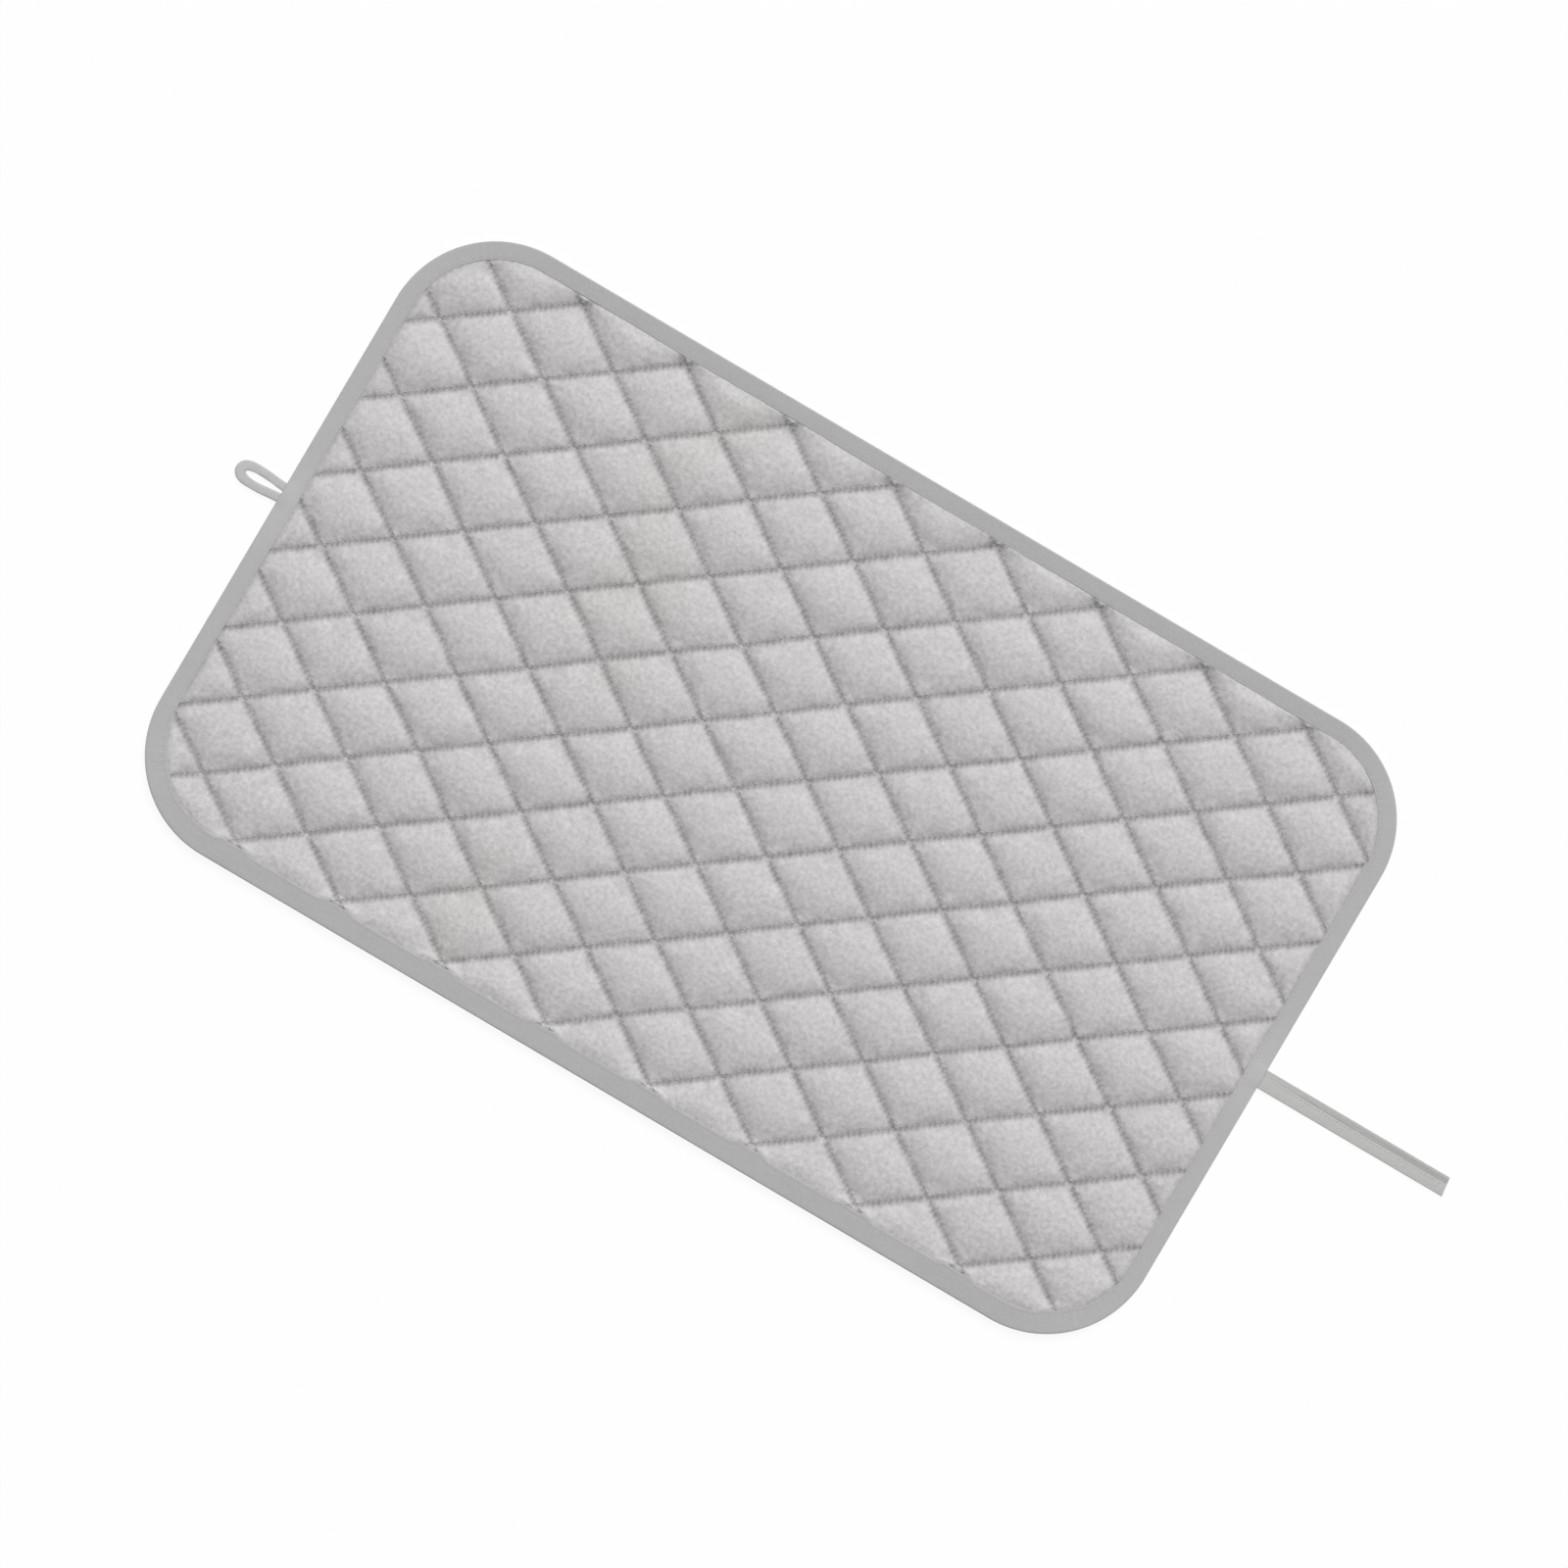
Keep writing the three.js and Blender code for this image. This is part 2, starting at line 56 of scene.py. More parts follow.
PAD_LOW, PAD_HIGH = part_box("edge_binding")
PAD_LENGTH = PAD_HIGH[0] - PAD_LOW[0]
PAD_WIDTH = PAD_HIGH[1] - PAD_LOW[1]
CORNER_RADIUS = 70 * MM
BINDING_WIDTH = 11.4 * MM
FRONT_BINDING_WIDTH = 14 * MM
RAW_EDGE_INSET = 5.5 * MM

# Heights of the layers above the table

SEAM_TOP = 3.5 * MM
CROWN_RISE = 3.0 * MM
FELT_TOP = 1.8 * MM
FELT_SEAM = 1.3 * MM
BINDING_FLOOR = 0.4 * MM

# The two families of straight quilting seams

def seam_family(number, angle, turn, pitch, offset):
    """Seams that run at an angle to the pad's length, falling for turn -1 and rising for turn 1.

    The number keeps the random draws of the two families apart.
    """
    across = math.radians(angle)
    return {
        "number": number,
        "normal": np.array([-turn * math.sin(across), math.cos(across)]),
        "along": np.array([math.cos(across), turn * math.sin(across)]),
        "pitch": pitch,
        "offset": offset,
    }


FALLING = seam_family(number=1, angle=34.4, turn=-1, pitch=41.55 * MM, offset=-19 * MM)
RISING = seam_family(number=2, angle=36.5, turn=1, pitch=43.65 * MM, offset=2.8 * MM)
FAMILIES = (FALLING, RISING)

# The photo's view: straight down, with the pad's length turned in the picture

PHOTO_TURN = math.radians(30.48)
PHOTO_CENTRE = (5.8 * MM, 6.0 * MM)
PHOTO_SPAN = 0.961
PHOTO_LEVEL = 3.5 * MM
LENS = 120
SENSOR = 36


def make_camera():
    data = bpy.data.cameras.new("photo_camera")
    data.lens = LENS
    data.sensor_width = SENSOR
    camera = bpy.data.objects.new("photo_camera", data)
    camera.location = (*PHOTO_CENTRE, PHOTO_LEVEL + PHOTO_SPAN * LENS / SENSOR)
    camera.rotation_euler = (0, 0, PHOTO_TURN)
    bpy.context.collection.objects.link(camera)
    bpy.context.scene.camera = camera


make_camera()


# Helpers for meshes

KNOTS_EACH_WAY = 64  # of the noise, before it repeats


def mesh_piece(name, points, faces):
    """A smooth-shaded mesh object with its points in the pad's frame."""
    mesh = bpy.data.meshes.new(name)
    listed = faces.tolist() if isinstance(faces, np.ndarray) else faces
    mesh.from_pydata(np.asarray(points).tolist(), [], listed)
    mesh.update()
    mesh.polygons.foreach_set("use_smooth", np.ones(len(mesh.polygons), bool))
    piece = bpy.data.objects.new(name, mesh)
    bpy.context.collection.objects.link(piece)
    return piece


def on_pad(piece, node):
    """A piece that stays with the pad and stands for one of its nodes."""
    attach(piece, "pad")
    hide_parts(node)
    return piece


def face_corners(piece):
    """The point at each corner of a piece's faces."""
    corners = np.zeros(len(piece.data.loops), np.int32)
    piece.data.loops.foreach_get("vertex_index", corners)
    return corners


def add_map(piece, name, places):
    """A flat map in metres, with a place for each corner of a piece's faces."""
    layer = piece.data.uv_layers.new(name=name)
    layer.uv.foreach_set("vector", places.astype(np.float32).ravel())


def noise_knots(seed):
    """A square of random numbers from -1 to 1, the same at each run."""
    return np.random.default_rng(seed).uniform(-1, 1, (KNOTS_EACH_WAY, KNOTS_EACH_WAY))


def soft_noise(x, y, seed):
    """Smooth noise from -1 to 1 with one swing for each unit of x and y."""
    size = KNOTS_EACH_WAY
    knots = noise_knots(seed)
    column = np.floor(x).astype(int)
    row = np.floor(y).astype(int)
    across = smooth_share(x - column)
    up = smooth_share(y - row)
    corner = [knots[(row + j) % size, (column + i) % size] for j in (0, 1) for i in (0, 1)]
    low = corner[0] + across * (corner[1] - corner[0])
    high = corner[2] + across * (corner[3] - corner[2])
    return low + up * (high - low)


def smooth_share(share):
    """0 to 1 with a soft start and end."""
    held = np.clip(share, 0, 1)
    return held * held * (3 - 2 * held)


def tube_faces(rings, sides, closed_rings=False):
    """Four-sided faces between rings of points; the last ring meets the first one where closed."""
    ring = np.arange(rings if closed_rings else rings - 1)
    side = np.arange(sides)
    a = (ring[:, None] * sides + side).ravel()
    b = (ring[:, None] * sides + (side + 1) % sides).ravel()
    total = rings * sides
    return np.stack([a, b, (b + sides) % total, (a + sides) % total], axis=1)


# Outline of the pad

def depth_inside(points, inset, front_inset):
    """How far points lie inside the pad's outline, drawn in by inset, or by front_inset at the front."""
    radius = CORNER_RADIUS - inset
    half = np.array([PAD_LENGTH / 2 - inset, (PAD_WIDTH - inset - front_inset) / 2])
    middle = np.array([0, (front_inset - inset) / 2])
    past = np.abs(points[:, :2] - middle) - (half - radius)
    outside = np.linalg.norm(np.maximum(past, 0), axis=1)
    return radius - outside - np.minimum(past.max(axis=1), 0)


def depth_in_quilt(points):
    """How far points lie inside the inner edge of the binding."""
    depth = depth_inside(points, BINDING_WIDTH, FRONT_BINDING_WIDTH)
    past_corner = -points[:, 1] - (PAD_WIDTH / 2 - CORNER_RADIUS)
    at_front = np.clip(past_corner / (CORNER_RADIUS - FRONT_BINDING_WIDTH), 0, 1)
    return depth - at_front * front_scallop(points[:, 0])


# Seams and the quilted surface

FULLNESS = 2.0  # how steeply a filled cell rises from its seams
FULLNESS_SPREAD = 0.09
FULLNESS_SEED = 7
CROWN_PLACE = 0.42  # of the way from one seam to the next
EDGE_LEVEL = 0.66  # height of the quilt inside the binding, as a share of the crown
EDGE_RUN = 7 * MM
FRONT_SCALLOP = 2 * MM
SCALLOP_REACH = 0.35  # share of the crown at which the scallop has gone
LOOSE_RUN = 8 * MM  # from the binding to where lumps and puckers are full
TUCK_DEPTH = 0.5 * MM  # of the cover under the binding's edge
TUCK_START = 1.2 * MM
TUCK_RUN = 1.6 * MM
SEAM_CLOSENESS = 0.4  # how much closer the mesh's lines lie at the seams
GROOVE_DEPTH = 0.1 * MM
GROOVE_REACH = 1.5 * MM
GROOVE_RUN = 13 * MM
GROOVE_UNEVENNESS = 0.4
GROOVE_SEED = 12
PUCKER_HEIGHT = 0.36 * MM
PUCKER_REACH = 3.5 * MM
PUCKER_SPACING = 5.5 * MM
PUCKER_SEAM_STEP = 7.3  # steps across the noise from seam to seam and from side to side
PUCKER_SIDE_STEP = 3.1
PUCKER_SEED = 10
LUMP_HEIGHT = 0.2 * MM
LUMP_SPACING = 8 * MM
LUMP_GROWTH = 2  # lumps are full where the quilt has risen to a share of 1 / LUMP_GROWTH
LUMP_SEED = 3
SEAM_WANDER = 0.45 * MM
WANDER_RUN = 45 * MM
WANDER_SEED = 50
SLOPE_STEP = 0.01 * MM
LEAST_SLOPE = 1e-12


def seam_place(points, seams):
    """Where points lie among a family's seams, in pitches."""
    return (points[:, :2] @ seams["normal"] - seams["offset"]) / seams["pitch"]


def seam_gap(points, seams):
    """Signed distance to the nearest seam of a family."""
    place = seam_place(points, seams)
    return (place - np.round(place)) * seams["pitch"]


def crown_share(points, seams):
    """0 on a family's seams and 1 on the crown between two of them, a little nearer the front seam."""
    past = seam_place(points, seams) % 1.0
    share = np.where(past < CROWN_PLACE, past / CROWN_PLACE, (1 - past) / (1 - CROWN_PLACE))
    return 1 - (np.cosh(FULLNESS * (1 - share)) - 1) / (np.cosh(FULLNESS) - 1)


def cell_fullness(points):
    """How full each quilted cell is, a little different from cell to cell."""
    column = np.floor(seam_place(points, FALLING)).astype(int)
    row = np.floor(seam_place(points, RISING)).astype(int)
    spread_of_cells = noise_knots(FULLNESS_SEED)
    return 1 + FULLNESS_SPREAD * spread_of_cells[row % KNOTS_EACH_WAY, column % KNOTS_EACH_WAY]


def front_scallop(x):
    """How much farther in the binding reaches along the front.

    The thin seam ends leave more tape lying flat than the full cells do.
    """
    edge = np.column_stack([x, np.full(len(x), FRONT_BINDING_WIDTH - PAD_WIDTH / 2)])
    filled = crown_share(edge, FALLING) * crown_share(edge, RISING)
    return FRONT_SCALLOP * (1 - smooth_share(filled / SCALLOP_REACH))


def quilt_rise(points):
    """Height of the quilt over its seams, as a share of the crown.

    The cells are filled between the seams, and the edge in the binding is level.
    """
    filled = crown_share(points, FALLING) * crown_share(points, RISING) * cell_fullness(points)
    bound = 1 - smooth_share(depth_in_quilt(points) / EDGE_RUN)
    return filled + (EDGE_LEVEL - filled) * bound


def puckers(points, seams):
    """Small cross folds that the stitches draw into the cloth on both sides of a seam."""
    gap = seam_gap(points, seams)
    run = points[:, :2] @ seams["along"] / PUCKER_SPACING
    row = PUCKER_SEAM_STEP * np.round(seam_place(points, seams)) + PUCKER_SIDE_STEP * np.sign(gap)
    swell = soft_noise(run, row, PUCKER_SEED + seams["number"])
    reach = np.abs(gap) / PUCKER_REACH
    return PUCKER_HEIGHT * swell * reach * np.exp(1 - reach)


def seam_groove(points):
    """Depth of the narrow groove that the thread is drawn into, deeper where it was pulled tighter."""
    grooves = []
    for seams in FAMILIES:
        run = points[:, :2] @ seams["along"] / GROOVE_RUN
        row = np.round(seam_place(points, seams))
        tightness = 1 + GROOVE_UNEVENNESS * soft_noise(run, row, GROOVE_SEED + seams["number"])
        grooves.append(tightness * np.exp(-((seam_gap(points, seams) / GROOVE_REACH) ** 2)))
    return GROOVE_DEPTH * np.maximum(*grooves)


def wandered(points):
    """Points of the straight lattice moved to where the sewn seams really run."""
    moved = points.copy()
    for seams in FAMILIES:
        run = points[:, :2] @ seams["along"] / WANDER_RUN
        sway = soft_noise(run, seam_place(points, seams), WANDER_SEED + seams["number"])
        moved += SEAM_WANDER * sway[:, None] * seams["normal"]
    return moved


def straightened(points):
    """Points on the sewn quilt moved back to where they would lie in the straight lattice."""
    return 2 * points - wandered(points)


def cover_height(points):
    """Height of the quilted cover's outside."""
    rise = quilt_rise(points)
    depth = depth_in_quilt(points)
    lumps = LUMP_HEIGHT * soft_noise(points[:, 0] / LUMP_SPACING, points[:, 1] / LUMP_SPACING, LUMP_SEED)
    folds = puckers(points, FALLING) + puckers(points, RISING)
    loose = np.minimum(LUMP_GROWTH * rise, 1) * lumps + folds
    inside = smooth_share(depth / LOOSE_RUN)
    tuck = TUCK_DEPTH * (1 - smooth_share((depth + TUCK_START) / TUCK_RUN))
    return SEAM_TOP + CROWN_RISE * rise + inside * loose - seam_groove(points) - tuck


def lattice_grid(steps, edge_inset):
    """A grid over the pad, with so many steps to a cell, that ends on an outline drawn in by edge_inset.

    It gives the points among straight seams, the same points where the seams really run, and the faces.
    """
    corners = np.array([[x, y] for x in (-1, 1) for y in (-1, 1)]) * [PAD_LENGTH / 2, PAD_WIDTH / 2]
    places = []
    for seams in FAMILIES:
        reach = seam_place(corners, seams)
        first, last = math.floor(reach.min()), math.ceil(reach.max())
        share = np.arange((last - first) * steps + 1) / steps
        closer = share - SEAM_CLOSENESS * np.sin(2 * math.pi * share) / (2 * math.pi)
        places.append(seams["offset"] + (first + closer) * seams["pitch"])
    normals = np.array([seams["normal"] for seams in FAMILIES])
    across = np.stack(np.meshgrid(*places, indexing="ij"), axis=-1).reshape(-1, 2)
    points = across @ np.linalg.inv(normals).T
    columns, rows = len(places[0]), len(places[1])
    start = (np.arange(columns - 1)[:, None] * rows + np.arange(rows - 1)).ravel()
    faces = np.stack([start, start + rows, start + rows + 1, start + 1], axis=1)
    moved = wandered(points)
    depth = depth_inside(moved, edge_inset, edge_inset)
    faces = faces[(depth[faces] > 0).any(axis=1)]
    used, faces = np.unique(faces, return_inverse=True)
    return points[used], onto_outline(moved[used], edge_inset), faces.reshape(-1, 4)


def onto_outline(points, edge_inset):
    """Points outside the outline moved straight back onto it."""
    depth = depth_inside(points, edge_inset, edge_inset)
    nudges = SLOPE_STEP * np.eye(2)
    nudged = [depth_inside(points + nudge, edge_inset, edge_inset) for nudge in nudges]
    slope = np.stack(nudged, axis=1) - depth[:, None]
    slope /= np.maximum(np.linalg.norm(slope, axis=1, keepdims=True), LEAST_SLOPE)
    return points - slope * np.minimum(depth, 0)[:, None]


def with_height(points, height):
    """Flat points with a height, one for all or one for each."""
    return np.column_stack([points, np.broadcast_to(height, len(points))])


def closed_layer(points, faces, top, bottom):
    """Points and faces of a layer with a top, a bottom and a wall along its edge."""
    count = len(points)
    edges = np.concatenate([faces[:, [i, (i + 1) % 4]] for i in range(4)])
    key = np.sort(edges, axis=1)
    _, place, shared = np.unique(key, axis=0, return_index=True, return_counts=True)
    rim = edges[place[shared == 1]]
    wall = np.stack([rim[:, 1], rim[:, 0], rim[:, 0] + count, rim[:, 1] + count], axis=1)
    solid = np.concatenate([with_height(points, top), with_height(points, bottom)])
    return solid, np.concatenate([faces, faces[:, ::-1] + count, wall])


COVER_STEPS = 25
WADDING_STEPS = 8
FELT_STEPS = 14
WADDING_INSET = RAW_EDGE_INSET + 1 * MM
WADDING_SEAM = 2.35 * MM
WADDING_SHARE = 0.88
WADDING_FLOOR = 1.95 * MM
FELT_GROOVE_REACH = 2.2 * MM
FELT_EDGE_RUN = 6 * MM


def seam_map(piece, straight):
    """A map in which the seams run straight, for the creases along them."""
    add_map(piece, "seams", straight[face_corners(piece)])


def make_quilted_cover():
    straight, points, faces = lattice_grid(COVER_STEPS, RAW_EDGE_INSET)
    cover = mesh_piece("quilted_cover", with_height(points, cover_height(straight)), faces)
    seam_map(cover, straight)
    return on_pad(cover, "top_cover")


def make_wadding():
    straight, points, faces = lattice_grid(WADDING_STEPS, WADDING_INSET)
    top = WADDING_SEAM + WADDING_SHARE * CROWN_RISE * quilt_rise(straight)
    wadding = mesh_piece("wadding_fill", *closed_layer(points, faces, top, WADDING_FLOOR))
    return on_pad(wadding, "wadding")


def felt_underside(points):
    """Height of the felt's underside, drawn up into a soft groove along each seam."""
    gap = np.minimum(np.abs(seam_gap(points, FALLING)), np.abs(seam_gap(points, RISING)))
    seam = np.exp(-((gap / FELT_GROOVE_REACH) ** 2))
    edge = 1 - smooth_share(depth_in_quilt(points) / FELT_EDGE_RUN)
    return FELT_SEAM * np.maximum(seam, edge)


def make_felt_back():
    straight, points, faces = lattice_grid(FELT_STEPS, RAW_EDGE_INSET)
    felt = mesh_piece("felt_back", *closed_layer(points, faces, FELT_TOP, felt_underside(straight)))
    seam_map(felt, np.concatenate([straight, straight]))
    return on_pad(felt, "felt_backing")


# Stitches

QUILT_STITCH = 3.55 * MM
QUILT_THREAD = 0.62 * MM
QUILTING_SEED = 21
BOBBIN_SEED = 22
THREAD_PROUD = 0.3  # how far a thread's middle stands off the cloth, in thread thicknesses
STITCH_SHOWS = 0.80  # share of a stitch that lies on the cloth
STITCH_LENGTHS = (0.93, 1.05)
STITCH_SLANT = math.radians(7)
STITCH_TURN = 0.04  # spread of the slant, in radians
STITCH_SIDEWAYS = 0.05 * MM
STITCH_DIVE = 0.45 * MM
STITCH_TAPER = 0.35
STITCH_END_POWER = 4  # how near its ends a stitch tapers and dives
SEAM_END = 2.2 * MM  # that the stitches run on under the binding


def stitch_shape(stations, sides):
    """One stitch of unit length and unit thickness that dives into the cloth at both ends."""
    share = np.linspace(-1, 1, stations)
    turn = np.arange(sides) * 2 * math.pi / sides
    ends = share**STITCH_END_POWER
    slim = 1 - STITCH_TAPER * ends
    along = np.repeat(share / 2, sides)
    across = (slim[:, None] * np.cos(turn) / 2).ravel()
    up = (slim[:, None] * np.sin(turn) / 2).ravel()
    dive = np.repeat(ends, sides)
    rings = tube_faces(stations, sides)
    first = list(range(sides))
    last = list(range((stations - 1) * sides, stations * sides))
    return along, across, up, dive, rings, first[::-1], last


def stitches(name, places, headings, heights, length, thread, rng, stations=5, sides=6, flip=1):
    """A piece of many separate stitches: where each one lies, which way it runs and how high.

    They dive down into the cloth for flip 1, and up into it for flip -1.
    """
    along, across, up, dive, rings, first, last = stitch_shape(stations, sides)
    count = len(places)
    long = length * STITCH_SHOWS * rng.uniform(*STITCH_LENGTHS, count)
    heading = headings + STITCH_SLANT + rng.normal(0, STITCH_TURN, count)
    sideways = rng.normal(0, STITCH_SIDEWAYS, count)
    run = along * long[:, None]
    wide = across * thread + sideways[:, None]
    x = places[:, :1] + run * np.cos(heading)[:, None] - wide * np.sin(heading)[:, None]
    y = places[:, 1:2] + run * np.sin(heading)[:, None] + wide * np.cos(heading)[:, None]
    z = heights[:, None] + up * thread - flip * dive * STITCH_DIVE
    points = np.stack([x, y, z], axis=-1).reshape(-1, 3)
    step = stations * sides
    faces = [face for i in range(count) for face in (rings + i * step).tolist()]
    for i in range(count):
        faces.append([k + i * step for k in first])
        faces.append([k + i * step for k in last])
    return mesh_piece(name, points, faces)


def seam_ends(node):
    """The two ends of a quilting seam, from its thread in the frame."""
    low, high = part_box(node)
    if "falling" in node:
        return np.array([low[0], high[1]]), np.array([high[0], low[1]])
    return np.array([low[0], low[1]]), np.array([high[0], high[1]])


def seam_stitch_places(node):
    """Centres of the stitches along a straight quilting seam."""
    seams = FALLING if "falling" in node else RISING
    start, end = seam_ends(node)
    middle = (start + end) / 2
    seam = round(seam_place(middle[None, :], seams)[0])
    on_seam = seams["normal"] * (seams["offset"] + seam * seams["pitch"])
    first = start @ seams["along"] - SEAM_END
    last = end @ seams["along"] + SEAM_END
    numbers = np.arange(math.ceil(first / QUILT_STITCH), math.floor(last / QUILT_STITCH))
    return on_seam + (numbers[:, None] + 0.5) * QUILT_STITCH * seams["along"]


def run_headings(places):
    """Which way a row of stitches runs at each stitch."""
    ahead = np.gradient(places, axis=0)
    return np.arctan2(ahead[:, 1], ahead[:, 0])


def quilting_nodes():
    """Names of the quilting seams' threads in the frame."""
    return sorted(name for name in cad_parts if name.startswith("quilt_thread_"))


def make_quilting_stitches():
    rng = np.random.default_rng(QUILTING_SEED)
    made = []
    for node in quilting_nodes():
        straight = seam_stitch_places(node)
        places = wandered(straight)
        heights = cover_height(straight) + THREAD_PROUD * QUILT_THREAD
        name = node.replace("thread", "stitches")
        piece = stitches(name, places, run_headings(places), heights, QUILT_STITCH, QUILT_THREAD, rng)
        made.append(on_pad(piece, node))
    return made


def make_bobbin_stitches():
    rng = np.random.default_rng(BOBBIN_SEED)
    runs = [seam_stitch_places(node) for node in quilting_nodes()]
    places = np.concatenate([wandered(run) for run in runs])
    headings = np.concatenate([run_headings(wandered(run)) for run in runs])
    heights = felt_underside(np.concatenate(runs)) - THREAD_PROUD * QUILT_THREAD
    size = (QUILT_STITCH, QUILT_THREAD)
    piece = stitches(
        "bobbin_stitches", places, headings, heights, *size, rng, stations=4, sides=4, flip=-1
    )
    return on_pad(piece, "quilt_bobbin_net")


# Binding

BINDING_STATION = 1.8 * MM  # between the mesh's rings along the tape
BINDING_LEAF = 0.3 * MM
BINDING_LEAF_TOP = 3.6 * MM
BINDING_FOLD_REACH = 1.2 * MM
BINDING_FOLD_FLATNESS = 0.5
BINDING_FOLD_STEPS = 13
BINDING_LEAF_STEPS = 9
BINDING_EDGE_ROUND = 0.6 * MM
BINDING_EDGE_STEPS = 5
BINDING_EDGE_LEFT = 0.03 * MM
BINDING_STITCH_INSET = 1.8 * MM
BINDING_STITCH_DIP = 0.08 * MM
BINDING_STITCH_REACH = 0.8 * MM
BINDING_STITCH = 2.9 * MM
BINDING_THREAD = 0.42 * MM
BINDING_STITCH_SEED = 23
TAPE_EDGE_ANGLE = math.radians(60)
RIPPLE_HEIGHT = 0.08 * MM
RIPPLE_RUN = 14 * MM
RIPPLE_SEED = 31
CRINKLE_HEIGHT = 0.06 * MM
CRINKLE_RUN = 5 * MM
CRINKLE_ROWS = 2
CRINKLE_SEED = 32
GATHER_HEIGHT = 0.14 * MM
GATHER_RUN = 5.2 * MM
GATHER_SWAY = 2  # radians by which the gathers come early or late
GATHER_SWAY_RUN = 4 * GATHER_RUN
GATHER_SEED = 33
INNER_EDGE_WANDER = 0.3 * MM
INNER_EDGE_RUN = 45 * MM
INNER_EDGE_SEED = 34
END_FACING = 0.99  # least outward share along X at the pad's two ends
LOOP_Y = 3.9 * MM
STRAP_Y = -1.1 * MM
TAIL_BULGE = 0.5 * MM
LOOP_TAIL_HALF = 7.5 * MM
LOOP_TAIL_POWER = 4
STRAP_TAIL_HALF = 7.0 * MM
STRAP_TAIL_POWER = 6
TAIL_MIDDLE = 3 * MM
TAIL_REACH = 5 * MM


def outline_walk(spacing):
    """Points round the pad's outer edge, their outward directions and their run along the edge."""
    straight_x = PAD_LENGTH / 2 - CORNER_RADIUS
    straight_y = PAD_WIDTH / 2 - CORNER_RADIUS
    sides = [
        (1, -1, 0, 2 * straight_y),
        (1, 1, 90, 2 * straight_x),
        (-1, 1, 180, 2 * straight_y),
        (-1, -1, 270, 2 * straight_x),
    ]
    points, outward = [], []
    for sign_x, sign_y, angle, length in sides:
        facing = math.radians(angle)
        ahead = np.array([-math.sin(facing), math.cos(facing)])
        away = np.array([math.cos(facing), math.sin(facing)])
        centre = np.array([sign_x * straight_x, sign_y * straight_y])
        steps = round(length / spacing)
        for i in range(steps):
            points.append(centre + away * CORNER_RADIUS + ahead * length * i / steps)
            outward.append(away)
        corner = centre + ahead * length
        turns = round(CORNER_RADIUS * math.pi / 2 / spacing)
        for i in range(turns):
            turn = facing + math.pi / 2 * i / turns
            away = np.array([math.cos(turn), math.sin(turn)])
            points.append(corner + away * CORNER_RADIUS)
            outward.append(away)
    points = np.array(points)
    gaps = np.linalg.norm(np.roll(points, -1, axis=0) - points, axis=1)
    return points, np.array(outward), np.concatenate([[0], np.cumsum(gaps)])


def binding_line():
    """Middle line of the folded tape and its thickness there, from the lower leaf to the upper.

    The line is given by its inset from the pad's edge and its height. Both inner edges are rounded off.
    """
    low = BINDING_FLOOR + BINDING_LEAF / 2
    high = BINDING_LEAF_TOP - BINDING_LEAF / 2
    fold_inset = BINDING_LEAF / 2 + BINDING_FOLD_REACH
    turn = np.linspace(-math.pi / 2, math.pi / 2, BINDING_FOLD_STEPS)
    out = flattened(np.cos(turn), BINDING_FOLD_FLATNESS)
    up = flattened(np.sin(turn), BINDING_FOLD_FLATNESS)
    fold = np.column_stack([fold_inset - BINDING_FOLD_REACH * out, (low + high + (high - low) * up) / 2])
    flat = np.linspace(fold_inset, BINDING_WIDTH - BINDING_EDGE_ROUND, BINDING_LEAF_STEPS + 1)[1:]
    rounding = np.linspace(0, math.pi / 2, BINDING_EDGE_STEPS + 1)[1:]
    inset = np.concatenate([flat, flat[-1] + BINDING_EDGE_ROUND * np.sin(rounding)])
    thickness = BINDING_LEAF * np.concatenate([np.ones(len(flat)), np.cos(rounding)])
    thickness = np.maximum(thickness, BINDING_EDGE_LEFT)
    from_stitches = (BINDING_WIDTH - BINDING_STITCH_INSET - inset) / BINDING_STITCH_REACH
    dip = BINDING_STITCH_DIP * np.exp(-(from_stitches**2)) + (BINDING_LEAF - thickness) / 2
    lower = np.column_stack([inset, low + dip])
    upper = np.column_stack([inset, high - dip])
    full = np.full(len(fold), BINDING_LEAF)
    return np.concatenate([lower[::-1], fold, upper]), np.concatenate([thickness[::-1], full, thickness])


def flattened(value, flatness):
    """A round section's sine or cosine, squared off as in a soft piece that lies flat."""
    return np.sign(value) * np.abs(value) ** flatness


def thick_section(line, thickness):
    """A closed section round a middle line, of one thickness or of a thickness for each point."""
    ahead = np.gradient(line, axis=0)
    ahead /= np.linalg.norm(ahead, axis=1, keepdims=True)
    side = np.column_stack([-ahead[:, 1], ahead[:, 0]]) * np.reshape(thickness, (-1, 1)) / 2
    return np.concatenate([line + side, (line - side)[::-1]])


def leaf_width(edge, outward):
    """Width of the binding's leaf, wider and scalloped along the front."""
    wider = FRONT_BINDING_WIDTH - BINDING_WIDTH + front_scallop(edge[:, 0])
    return BINDING_WIDTH + wider * np.maximum(-outward[:, 1], 0)


